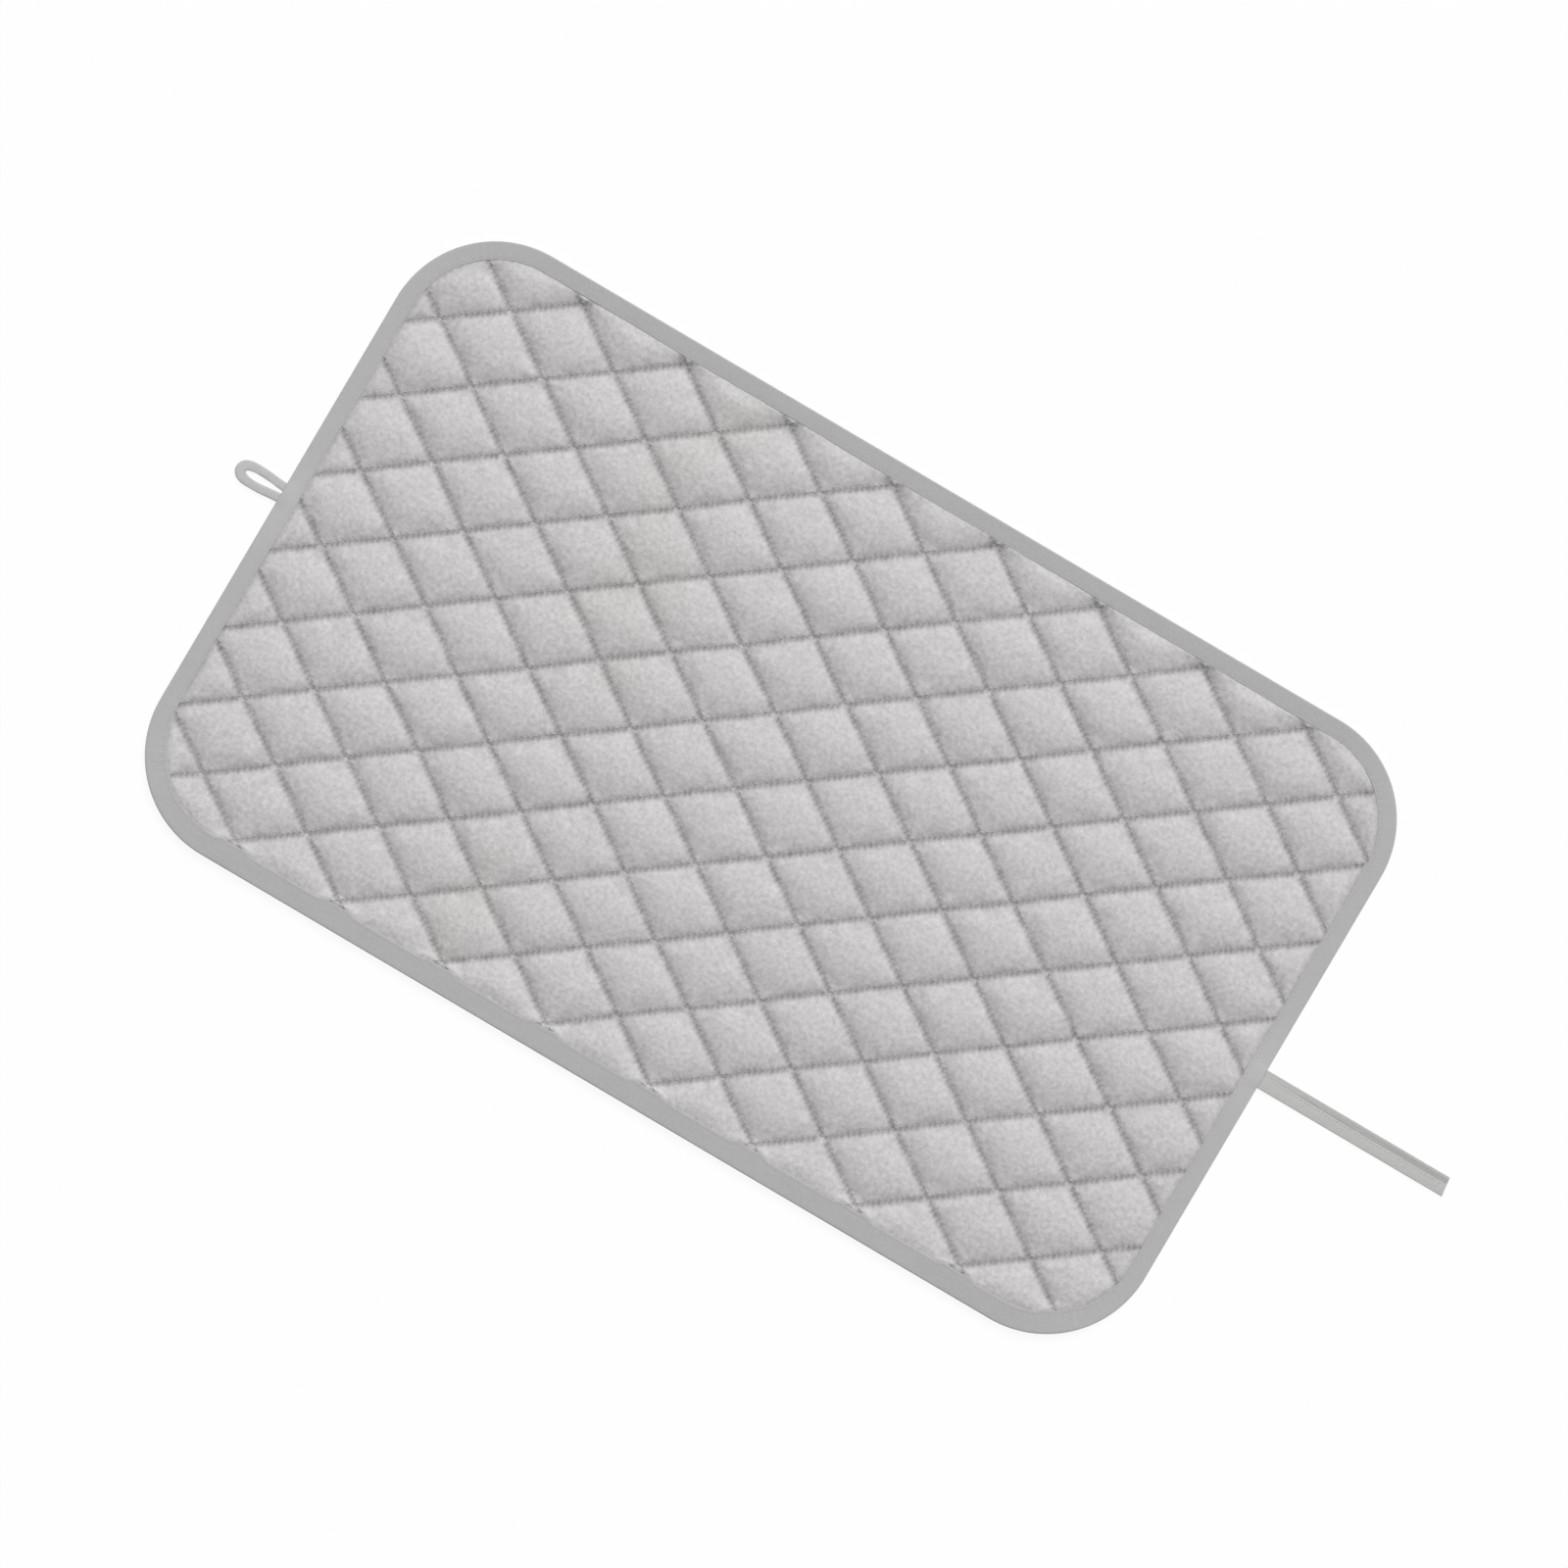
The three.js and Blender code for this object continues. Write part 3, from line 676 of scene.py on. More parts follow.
def binding_lift(points, edge, outward, run, inset):
    """How far the upper leaf stands up on the filled quilt and the sewn-in tails, with its ripples."""
    on_quilt = CROWN_RISE * quilt_rise(straightened(points))
    across = inset / BINDING_WIDTH
    ripple = RIPPLE_HEIGHT * soft_noise(run / RIPPLE_RUN, across, RIPPLE_SEED)
    crinkle = CRINKLE_HEIGHT * soft_noise(run / CRINKLE_RUN, CRINKLE_ROWS * across, CRINKLE_SEED)
    corner = np.minimum(np.abs(outward[:, 0]), np.abs(outward[:, 1])) * math.sqrt(2)
    sway = GATHER_SWAY * soft_noise(run / GATHER_SWAY_RUN, 0 * run, GATHER_SEED)
    beat = 2 * math.pi * run / GATHER_RUN + sway
    gathers = GATHER_HEIGHT * corner * smooth_share(across) * np.sin(beat)
    beside_loop = (edge[:, 1] - LOOP_Y) / LOOP_TAIL_HALF
    beside_strap = (edge[:, 1] - STRAP_Y) / STRAP_TAIL_HALF
    loop_tails = np.exp(-(beside_loop**LOOP_TAIL_POWER)) * (outward[:, 0] < -END_FACING)
    strap_tail = np.exp(-(beside_strap**STRAP_TAIL_POWER)) * (outward[:, 0] > END_FACING)
    tails = TAIL_BULGE * (loop_tails + strap_tail) * np.exp(-(((inset - TAIL_MIDDLE) / TAIL_REACH) ** 2))
    return on_quilt + ripple + crinkle + gathers + tails


def make_binding():
    edge, outward, run = outline_walk(BINDING_STATION)
    section = thick_section(*binding_line())
    rings, sides = len(edge), len(section)
    wander = INNER_EDGE_WANDER * soft_noise(run[:-1] / INNER_EDGE_RUN, 0 * run[:-1], INNER_EDGE_SEED)
    inset = section[:, 0] * leaf_width(edge, outward)[:, None] / BINDING_WIDTH
    inset += wander[:, None] * smooth_share(section[:, 0] / BINDING_WIDTH)
    flat = (edge[:, None, :] - outward[:, None, :] * inset[:, :, None]).reshape(-1, 2)
    upper = smooth_share((section[:, 1] - BINDING_FLOOR) / (BINDING_LEAF_TOP - BINDING_FLOOR))
    lift = binding_lift(
        flat,
        np.repeat(edge, sides, axis=0),
        np.repeat(outward, sides, axis=0),
        np.repeat(run[:-1], sides),
        inset.ravel(),
    )
    height = np.tile(section[:, 1], rings) + np.tile(upper, rings) * lift
    points = np.column_stack([flat, height])
    binding = mesh_piece("binding_tape", points, tube_faces(rings, sides, True)[:, ::-1])
    binding.data.set_sharp_from_angle(angle=TAPE_EDGE_ANGLE)
    tape_map(binding, rings, sides, run, section)
    return on_pad(binding, "edge_binding")


def tape_map(piece, rings, sides, run, section):
    """A map along and across a tape, for its weave."""
    around = np.concatenate([[0], np.cumsum(np.linalg.norm(np.diff(section, axis=0), axis=1))])
    around = np.append(around, around[-1] + np.linalg.norm(section[0] - section[-1]))
    corners = face_corners(piece)
    face = np.repeat(np.arange(len(piece.data.polygons)), [p.loop_total for p in piece.data.polygons])
    ring, side = corners // sides, corners % sides
    last_ring = (face // sides == rings - 1) & (ring == 0) & (len(run) > rings)
    last_side = (face % sides == sides - 1) & (side == 0)
    along = run[np.where(last_ring, rings, ring) % len(run)]
    across = around[np.where(last_side, sides, side)]
    add_map(piece, "tape", np.column_stack([along, across]))


def make_binding_stitches():
    rng = np.random.default_rng(BINDING_STITCH_SEED)
    edge, outward, run = outline_walk(BINDING_STITCH)
    inset = leaf_width(edge, outward) - BINDING_STITCH_INSET
    places = edge - outward * inset[:, None]
    headings = np.arctan2(outward[:, 0], -outward[:, 1])
    lift = binding_lift(places, edge, outward, run[:-1], inset)
    top = BINDING_LEAF_TOP - BINDING_STITCH_DIP + lift
    under = np.full(len(places), BINDING_FLOOR)
    made = []
    sides = (
        ("binding_stitches_top", "binding_needle_thread", top, 1),
        ("binding_stitches_under", "binding_bobbin_thread", under, -1),
    )
    for name, node, heights, flip in sides:
        piece = stitches(name, places, headings, heights, BINDING_STITCH, BINDING_THREAD, rng, flip=flip)
        made.append(on_pad(piece, node))
    return made


# Hanging loop

LOOP_WIDTH = 5.6 * MM
LOOP_TIP_WIDTH = 6.6 * MM
LOOP_HEIGHT = 2.4 * MM
LOOP_FLATNESS = 0.45
LOOP_ROOT = -350.3 * MM
LOOP_TIP = -379.8 * MM
LOOP_ROOT_HALF = 3.8 * MM
LOOP_LEG_HANDLE = 9 * MM
LOOP_TIP_HANDLE = 8.7 * MM
LOOP_TIP_POINT = 1.8 * MM
LOOP_ROUNDING = 10  # times that the line's corners are eased
LOOP_TAIL = 4 * MM
LOOP_TAIL_STEPS = 4
LOOP_ROOT_HEIGHT = 2.2 * MM
LOOP_ROOT_MIDDLE = 2.4 * MM
LOOP_PINCH_RUN = 9 * MM
LOOP_TIP_RUN = 12 * MM
LOOP_WRINKLE = 0.02
LOOP_WRINKLE_RUN = 2.3 * MM
LOOP_SLACK = 0.05
LOOP_SLACK_RUN = 6 * MM
LOOP_SLACK_TURN = 1.5  # swings of the slack for each radian round the cord
LOOP_SLACK_SEED = 41
LOOP_LEG_STEPS = 40
LOOP_SIDES = 24
TABLE_GAP = 0.05 * MM


def loop_line():
    """The cord's centreline from one sewn end round the loop to the other, seen from above."""
    share = np.linspace(0, 1, LOOP_LEG_STEPS + 1)[:, None]
    root = np.array([LOOP_ROOT, LOOP_ROOT_HALF])
    leg = root + np.array([-LOOP_LEG_HANDLE, 0])
    side = np.array([LOOP_TIP + LOOP_TIP_POINT, LOOP_TIP_HANDLE])
    tip = np.array([LOOP_TIP, 0])
    curve = (
        (1 - share) ** 3 * root
        + 3 * (1 - share) ** 2 * share * leg
        + 3 * (1 - share) * share**2 * side
        + share**3 * tip
    )
    sewn_in = np.arange(LOOP_TAIL_STEPS, 0, -1)[:, None] / LOOP_TAIL_STEPS
    tail = root + np.array([LOOP_TAIL, 0]) * sewn_in
    one_leg = np.concatenate([tail, curve])
    other_leg = one_leg[-2::-1] * [1, -1]
    line = np.concatenate([one_leg, other_leg])
    for _ in range(LOOP_ROUNDING):
        line[1:-1] = (line[:-2] + 2 * line[1:-1] + line[2:]) / 4
    return line + [0, LOOP_Y]


def loop_shape(line):
    """Points round the cord's centreline, that line's height and run, and the cord's flat section."""
    ahead = np.gradient(line, axis=0)
    ahead /= np.linalg.norm(ahead, axis=1, keepdims=True)
    side = np.column_stack([-ahead[:, 1], ahead[:, 0]])
    swell = smooth_share((LOOP_ROOT - line[:, 0]) / LOOP_PINCH_RUN)
    at_tip = smooth_share(1 - (line[:, 0] - LOOP_TIP) / LOOP_TIP_RUN)
    middle = LOOP_ROOT_MIDDLE + (LOOP_HEIGHT / 2 - LOOP_ROOT_MIDDLE) * swell
    tall = LOOP_ROOT_HEIGHT + (LOOP_HEIGHT - LOOP_ROOT_HEIGHT) * swell
    wide = LOOP_WIDTH + (LOOP_TIP_WIDTH - LOOP_WIDTH) * at_tip
    turn = np.arange(LOOP_SIDES) * 2 * math.pi / LOOP_SIDES
    run = np.concatenate([[0], np.cumsum(np.linalg.norm(np.diff(line, axis=0), axis=1))])
    inner_side = np.maximum(np.cos(turn), 0)
    wrinkle = at_tip[:, None] * inner_side * np.sin(run[:, None] / LOOP_WRINKLE_RUN * 2 * math.pi)
    slack = soft_noise(run[:, None] / LOOP_SLACK_RUN, turn[None, :] * LOOP_SLACK_TURN, LOOP_SLACK_SEED)
    fullness = (1 + LOOP_WRINKLE * wrinkle + LOOP_SLACK * slack) / 2
    square_across = flattened(np.cos(turn), LOOP_FLATNESS)
    square_up = flattened(np.sin(turn), LOOP_FLATNESS)
    across = wide[:, None] * fullness * square_across
    up = tall[:, None] * fullness * square_up
    flat = line[:, None, :] + side[:, None, :] * across[:, :, None]
    height = np.maximum(middle[:, None] + up, TABLE_GAP)
    points = np.concatenate([flat, height[:, :, None]], axis=2).reshape(-1, 3)
    section = np.column_stack([LOOP_WIDTH * square_across, LOOP_HEIGHT * square_up]) / 2
    return points, middle, run, section


def make_hanging_loop():
    line = loop_line()
    points, middle, run, section = loop_shape(line)
    rings = len(line)
    faces = tube_faces(rings, LOOP_SIDES).tolist()
    faces.append(list(range(LOOP_SIDES))[::-1])
    faces.append(list(range((rings - 1) * LOOP_SIDES, rings * LOOP_SIDES)))
    loop = mesh_piece("loop_cord", points, faces)
    tape_map(loop, rings, LOOP_SIDES, run, section)
    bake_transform(loop)
    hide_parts("hanging_loop", "loop_sewn_ends")
    return loop


# Tie strap

STRAP_ROOT = 350.3 * MM
STRAP_LENGTH = 131.5 * MM
STRAP_TAIL = 4 * MM
STRAP_WIDTH = 12.4 * MM
STRAP_LEAF = 0.6 * MM
STRAP_SLANT = 1.6 * MM
STRAP_SLANT_START = 0.75  # of the strap's length
STRAP_DROP_RUN = 18 * MM
STRAP_ROOT_FLOOR = 1.3 * MM
STRAP_BACK_SET = 4.6 * MM
STRAP_ROOT_SET = 3.4 * MM
STRAP_SET_RUN = 75 * MM
STRAP_CLOTH = 0.36 * MM
STRAP_LIP = 0.82 * MM
STRAP_LIP_RUN = 95 * MM
STRAP_LIP_GROWTH = 0.9
STRAP_LIP_FOOT = 0.11  # share of the lip's width that its crease takes, at the free end
STRAP_ROOT_FOOT = 0.02  # the same at the binding
STRAP_CREASE = 0.4
STRAP_LIP_TOP = 0.8
STRAP_GAP = 0.05 * MM
STRAP_FOLD = 0.6 * MM
STRAP_CROWN = 0.12 * MM
STRAP_WAVE = 0.35 * MM
STRAP_WAVE_RUN = 47 * MM
STRAP_WAVE_PHASE = -1.2
STRAP_WAVE_START = 30 * MM
STRAP_STEPS = 90
STRAP_LEAF_POINTS = 9
STRAP_STITCH_INSET = 1.4 * MM
STRAP_STITCH = 2.6 * MM
STRAP_THREAD = 0.4 * MM
STRAP_THREAD_PROUD = 0.2
STRAP_STITCH_SEED = 24
STRAP_STITCH_START = 5 * MM
STRAP_STITCH_END = 4 * MM


def strap_floor(x):
    """Height of the strap's underside, from the binding down to the table."""
    past = x - STRAP_ROOT
    drop = STRAP_ROOT_FLOOR * (1 - smooth_share(past / STRAP_DROP_RUN))
    wave = STRAP_WAVE * (1 + np.sin(past / STRAP_WAVE_RUN * 2 * math.pi + STRAP_WAVE_PHASE))
    return drop + wave * smooth_share(past / STRAP_WAVE_START)


def strap_set_back(x):
    """How far the upper leaf's free edge is drawn back from the lower leaf's edge."""
    share = smooth_share((x - STRAP_ROOT) / STRAP_SET_RUN)
    return STRAP_ROOT_SET + (STRAP_BACK_SET - STRAP_ROOT_SET) * share


def strap_line(x):
    """Middle line of the folded tape at x, from the lower leaf's edge across, round the fold and back."""
    half = STRAP_WIDTH / 2
    crease = half - strap_set_back(x)
    fold = STRAP_FOLD - half
    grown = np.clip((x - STRAP_ROOT) / STRAP_LIP_RUN, 0, 1) ** STRAP_LIP_GROWTH
    lip = STRAP_LIP * grown
    foot = STRAP_ROOT_FOOT + (STRAP_LIP_FOOT - STRAP_ROOT_FOOT) * grown
    low = STRAP_CLOTH / 2
    high = low + STRAP_LEAF
    share = np.linspace(0, 1, STRAP_LEAF_POINTS)
    out = np.concatenate([np.linspace(1, foot, STRAP_LEAF_POINTS - 1), [0]])
    lifted = (high - low) * (STRAP_CREASE + (1 - STRAP_CREASE) * smooth_share(out / foot))
    curled = lip * smooth_share((out - foot) / (STRAP_LIP_TOP - foot))
    edge = np.column_stack([crease + (half - crease) * out, low + lifted + curled])
    lower = np.column_stack([crease + (fold - crease) * share, np.full(len(share), low)])
    turn = math.pi * share
    round_fold = np.column_stack(
        [fold - STRAP_FOLD * np.sin(turn), low + (high - low) * (1 - np.cos(turn)) / 2]
    )
    upper = np.column_stack([fold + (crease - STRAP_GAP - fold) * share, high + STRAP_CROWN * np.sin(turn)])
    return np.concatenate([edge, lower[1:], round_fold[1:], upper[1:]])


def strap_shape():
    """Rings of points along the folded tape, which is cut off at a slant, and the line that it follows."""
    share = np.linspace(0, 1, STRAP_STEPS + 1)
    stations = STRAP_ROOT - STRAP_TAIL + (STRAP_LENGTH + STRAP_TAIL) * share
    points, path = [], []
    for i, x in enumerate(stations):
        section = thick_section(strap_line(x), STRAP_CLOTH)
        cut = smooth_share((share[i] - STRAP_SLANT_START) / (1 - STRAP_SLANT_START))
        slant = STRAP_SLANT * (section[:, 0] / STRAP_WIDTH + 0.5) * cut
        floor = strap_floor(np.array([x]))[0]
        height = np.maximum(floor + section[:, 1], TABLE_GAP)
        points.append(np.column_stack([x - slant, STRAP_Y + section[:, 0], height]))
        path.append((x, STRAP_Y, floor + STRAP_LEAF))
    return points, path


def strap_faces(rings, sides):
    """Faces round the folded tape, and across the cut cloth at its two ends."""
    faces = tube_faces(rings, sides).tolist()
    for start in (0, (rings - 1) * sides):
        for i in range(sides // 2 - 1):
            quad = [start + i, start + i + 1, start + sides - 2 - i, start + sides - 1 - i]
            faces.append(quad if start else quad[::-1])
    return faces


def make_tie_strap():
    points, path = strap_shape()
    faces = strap_faces(rings=len(points), sides=len(points[0]))
    strap = mesh_piece("strap_tape", np.concatenate(points), faces)
    strap.data.set_sharp_from_angle(angle=TAPE_EDGE_ANGLE)
    stitching = make_strap_stitches()
    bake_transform(strap)
    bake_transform(stitching)
    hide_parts("tie_strap", "strap_sewn_end")
    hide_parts("strap_edge_thread")
    return strap, stitching


def make_strap_stitches():
    rng = np.random.default_rng(STRAP_STITCH_SEED)
    first = STRAP_ROOT + STRAP_STITCH_START
    last = STRAP_ROOT + STRAP_LENGTH - STRAP_STITCH_END
    count = round((last - first) / STRAP_STITCH)
    x = first + (np.arange(count) + 0.5) / count * (last - first)
    y = STRAP_Y + STRAP_WIDTH / 2 - strap_set_back(x) - STRAP_STITCH_INSET
    places = np.column_stack([x, y])
    heights = strap_floor(x) + STRAP_CLOTH + STRAP_LEAF + STRAP_THREAD_PROUD * STRAP_THREAD
    return stitches(
        "strap_stitches", places, run_headings(places), heights, STRAP_STITCH, STRAP_THREAD, rng
    )


# The pieces, with the cords first

loop_cord = make_hanging_loop()
strap_tape, strap_stitches = make_tie_strap()
quilted_cover = make_quilted_cover()
wadding_fill = make_wadding()
felt_back = make_felt_back()
quilting_stitches = make_quilting_stitches()
bobbin_stitches = make_bobbin_stitches()
binding_tape = make_binding()
binding_stitches = make_binding_stitches()

# Helpers for materials

FLOAT = "NodeSocketFloat"
VECTOR = "NodeSocketVector"
MIX_FROM, MIX_TO, MIX_RESULT = 6, 7, 2  # colour sockets of a Mix node
NOISE_RANGE = (0.3, 0.7)  # where most of a noise's values lie
GRAIN_RANGE = (0.25, 0.75)
SCREEN_LEVELS = 255
SCREEN_TOE = 0.055
SCREEN_CURVE = 2.4
WHITE = (1, 1, 1, 1)


def add(tree, kind, inputs=(), **settings):
    """A shader node with its settings and inputs; an input is a value or another node's output."""
    made = tree.nodes.new("ShaderNode" + kind)
    for name, value in settings.items():
        setattr(made, name, value)
    for name, value in dict(inputs).items():
        if isinstance(value, bpy.types.NodeSocket):
            tree.links.new(value, made.inputs[name])
        else:
            made.inputs[name].default_value = value
    return made


def noise(tree, place, swings, detail=2.0, roughness=0.5):
    """The outputs of a Noise Texture node with so many swings to the metre."""
    inputs = {"Vector": place, "Scale": swings, "Detail": detail, "Roughness": roughness}
    return add(tree, "TexNoise", inputs).outputs


def work(tree, operation, first, second=0.0, third=0.0):
    """The output of a Math node."""
    return add(tree, "Math", {0: first, 1: second, 2: third}, operation=operation).outputs[0]


def vector_work(tree, operation, first, second=(0, 0, 0)):
    """The output of a Vector Math node."""
    return add(tree, "VectorMath", {0: first, 1: second}, operation=operation).outputs[0]


def spread(tree, value, low, high, out_low=0.0, out_high=1.0):
    """A value stretched from one range to another."""
    inputs = {"Value": value, "From Min": low, "From Max": high, "To Min": out_low, "To Max": out_high}
    return add(tree, "MapRange", inputs).outputs["Result"]


def new_group(name, inputs, outputs):
    """An empty shader node group: its inputs with their kinds, and its outputs, which are numbers."""
    tree = bpy.data.node_groups.new(name, "ShaderNodeTree")
    for label, kind in inputs.items():
        tree.interface.new_socket(label, in_out="INPUT", socket_type=kind)
    for label in outputs:
        tree.interface.new_socket(label, in_out="OUTPUT", socket_type=FLOAT)
    return tree, tree.nodes.new("NodeGroupInput").outputs, tree.nodes.new("NodeGroupOutput")


# Effects that the cloths share

FUZZ_BENDS = 240.0  # to the metre
FUZZ_SWAY = (4 * MM, 4 * MM, 4 * MM)
# Painted shade along the quilting seams: how it leans, swells, jogs, clumps and is bridged, and the dents
# at the needle holes
CREASE_SKEW = 0.12  # how much wider the crease's painted shade is on its front side, where the shadow falls, and narrower on its back side
CREASE_SWELL = 0.15  # how much wider the painted shade is where the thread pulls
JOGS_PER_METRE = 330.0
SEAM_JOG = 0.2 * MM  # sideways
STITCH_JOG = 0.2  # along the seam, in stitches
CLUMPS_PER_METRE = 120.0
CLUMP_SHARE = 0.38
LEAST_PULL = 0.5
MEAN_PULL = 0.375
DENT_REACH = 1.3 * MM
BRIDGE_PLACE = 2.6 * MM  # in front of a crossing seam, where the cloth bridges the crease and the painted shade is lighter
BRIDGE_REACH = 1.4 * MM
BRIDGE_SHARE = 0.5


def plain_weave():
    """Threads crossing over and under each other: height, for bump."""
    tree, given, out = new_group("plain weave", {"Place": VECTOR, "Threads per metre": FLOAT}, ["Height"])
    split = add(tree, "SeparateXYZ", {"Vector": given["Place"]}).outputs
    waves = []
    for axis in ("X", "Y"):
        turns = work(tree, "MULTIPLY", split[axis], given["Threads per metre"])
        waves.append(work(tree, "SINE", work(tree, "MULTIPLY", turns, math.pi)))
    over = work(tree, "GREATER_THAN", work(tree, "MULTIPLY", waves[0], waves[1]), 0.0)
    warp = work(tree, "MULTIPLY", work(tree, "ABSOLUTE", waves[0]), over)
    weft = work(tree, "MULTIPLY", work(tree, "ABSOLUTE", waves[1]), work(tree, "SUBTRACT", 1.0, over))
    tree.links.new(work(tree, "ADD", warp, weft), out.inputs["Height"])
    return tree


def cloth_grain():
    """Fine grain and wide soft blotches over a cloth, each from 0 to 1."""
    inputs = {"Place": VECTOR, "Grains per metre": FLOAT, "Blotches per metre": FLOAT}
    tree, given, out = new_group("cloth grain", inputs, ["Grain", "Blotch"])
    grain = noise(tree, given["Place"], given["Grains per metre"], detail=3.0, roughness=0.6)["Fac"]
    blotch = noise(tree, given["Place"], given["Blotches per metre"])["Fac"]
    tree.links.new(spread(tree, grain, *GRAIN_RANGE), out.inputs["Grain"])
    tree.links.new(spread(tree, blotch, *NOISE_RANGE), out.inputs["Blotch"])
    return tree


def fibre_fuzz():
    """Matted fibres that lie in all directions, from 0 to 1."""
    tree, given, out = new_group("fibre fuzz", {"Place": VECTOR, "Fibres per metre": FLOAT}, ["Fibre"])
    bends = noise(tree, given["Place"], FUZZ_BENDS)["Color"]
    place = vector_work(tree, "ADD", given["Place"], vector_work(tree, "MULTIPLY", bends, FUZZ_SWAY))
    strand = noise(tree, place, given["Fibres per metre"], detail=4.0, roughness=0.7)["Fac"]
    tree.links.new(spread(tree, strand, *NOISE_RANGE), out.inputs["Fibre"])
    return tree


def nearest_seams(tree, split, jog):
    """For each family of seams, the distance to its nearest seam and that seam's number."""
    gaps, rows = [], []
    for seams in FAMILIES:
        across = line_place(tree, split, seams["normal"], seams["offset"])
        pitches = work(tree, "DIVIDE", across, seams["pitch"])
        row = work(tree, "ROUND", pitches)
        near = work(tree, "MULTIPLY", work(tree, "SUBTRACT", pitches, row), seams["pitch"])
        gaps.append(work(tree, "MULTIPLY_ADD", jog, SEAM_JOG, near))
        rows.append(row)
    return gaps, rows


def stitch_pull(tree, along, row, jog):
    """How tightly the thread pulls along a seam, most at its needle holes, and not the same at each."""
    count = work(tree, "MULTIPLY_ADD", jog, STITCH_JOG, work(tree, "DIVIDE", along, QUILT_STITCH))
    hole = work(tree, "COSINE", work(tree, "MULTIPLY", count, 2 * math.pi))
    number = add(tree, "CombineXYZ", {"X": work(tree, "ROUND", count), "Y": row}).outputs["Vector"]
    pull = add(tree, "TexWhiteNoise", {"Vector": number}, noise_dimensions="2D").outputs["Value"]
    pulled = spread(tree, pull, 0.0, 1.0, LEAST_PULL, 1.0)
    return work(tree, "MULTIPLY", spread(tree, hole, -1.0, 1.0), pulled)


def seam_crease_shade():
    """Painted shade in a quilting seam's crease, from 0 to 1, and the depth of the dents at its needle
    holes.
    """
    inputs = {"Place": VECTOR, "Reach": FLOAT, "Lean": FLOAT, "Unevenness": FLOAT}
    tree, given, out = new_group("seam crease shade", inputs, ["Crease", "Dents"])
    split = add(tree, "SeparateXYZ", {"Vector": given["Place"]}).outputs
    clump = wander_value(tree, given["Place"], CLUMPS_PER_METRE)
    jog = wander_value(tree, given["Place"], JOGS_PER_METRE)
    gaps, rows = nearest_seams(tree, split, jog)
    creases, dents = [], []
    for seams, gap, row, crossing in zip(FAMILIES, gaps, rows, reversed(gaps)):
        along = line_place(tree, split, seams["along"], 0.0)
        tightness = stitch_pull(tree, along, row, jog)
        pulled = work(tree, "SUBTRACT", tightness, MEAN_PULL)
        uneven = work(tree, "MULTIPLY_ADD", clump, CLUMP_SHARE, pulled)
        strength = work(tree, "MULTIPLY_ADD", uneven, given["Unevenness"], 1.0)
        # The painted shade leans onto the seam's front flank, where the shadow falls, and swells where the
        # thread pulls
        leaning = work(tree, "ADD", gap, given["Lean"])
        skew = work(tree, "MULTIPLY_ADD", work(tree, "SIGN", leaning), -CREASE_SKEW, 1.0)
        swell = work(tree, "MULTIPLY_ADD", uneven, CREASE_SWELL, skew)
        crease = bell(tree, work(tree, "DIVIDE", leaning, work(tree, "MULTIPLY", given["Reach"], swell)))
        # The painted shade is lighter just in front of a crossing seam, where the cloth bridges the crease
        bridged = bell(tree, work(tree, "DIVIDE", work(tree, "ADD", crossing, BRIDGE_PLACE), BRIDGE_REACH))
        darkness = work(tree, "MULTIPLY_ADD", bridged, -BRIDGE_SHARE, strength)
        creases.append(work(tree, "MULTIPLY", crease, darkness))
        dent = bell(tree, work(tree, "DIVIDE", gap, DENT_REACH))
        dents.append(work(tree, "MULTIPLY", tightness, dent))
    tree.links.new(work(tree, "MAXIMUM", *creases), out.inputs["Crease"])
    tree.links.new(work(tree, "MAXIMUM", *dents), out.inputs["Dents"])
    return tree


def bell(tree, value):
    """1 where a value is 0, falling softly to 0 on both sides."""
    return work(tree, "EXPONENT", work(tree, "MULTIPLY", work(tree, "MULTIPLY", value, value), -1.0))


def wander_value(tree, place, swings):
    """Noise from about -1 to 1, with so many swings to the metre."""
    return spread(tree, noise(tree, place, swings)["Fac"], *NOISE_RANGE, -1.0, 1.0)


def line_place(tree, split, direction, offset):
    """How far the surface lies along a direction in the pad's plane, past an offset."""
    x = work(tree, "MULTIPLY", split["X"], float(direction[0]))
    both = work(tree, "MULTIPLY_ADD", split["Y"], float(direction[1]), x)
    return work(tree, "SUBTRACT", both, offset)


WEAVE = plain_weave()
GRAIN = cloth_grain()
FUZZ = fibre_fuzz()
CREASE_SHADE = seam_crease_shade()


def use_group(tree, group, **inputs):
    """A shared group placed in a material with its own values."""
    named = {name.replace("_", " "): value for name, value in inputs.items()}
    return add(tree, "Group", named, node_tree=group).outputs


# Materials

def new_material(name):
    """A material with its shader, and the place of the surface on the pad."""
    material = bpy.data.materials.new(name)
    material.use_nodes = True
    tree = material.node_tree
    shader = tree.nodes["Principled BSDF"]
    place = add(tree, "TexCoord").outputs["Object"]
    return material, tree, shader, place


def grey(level, red=0, blue=0):
    """A linear colour from its level on the screen, with more or less red and blue."""
    levels = (level + red, level, level + blue)
    shares = [(v / SCREEN_LEVELS + SCREEN_TOE) / (1 + SCREEN_TOE) for v in levels]
    return (*(share**SCREEN_CURVE for share in shares), 1.0)


def blend_colours(tree, share, low, high):
    """From one colour to another, by a share from 0 to 1."""
    inputs = {"Factor": share, MIX_FROM: low, MIX_TO: high}
    return add(tree, "Mix", inputs, data_type="RGBA").outputs[MIX_RESULT]


def bump(tree, height, distance, strength=1.0, under=None):
    """The normal of a surface with a height on it, over an earlier normal if there is one."""
    inputs = {"Height": height, "Distance": distance, "Strength": strength}
    if under is not None:
        inputs["Normal"] = under
    return add(tree, "Bump", inputs).outputs["Normal"]


FOLD_MARKS = ((-135 * MM, 0.9), (112 * MM, 0.2))  # where along the pad, and how strong
FOLD_MARK_REACH = 36 * MM


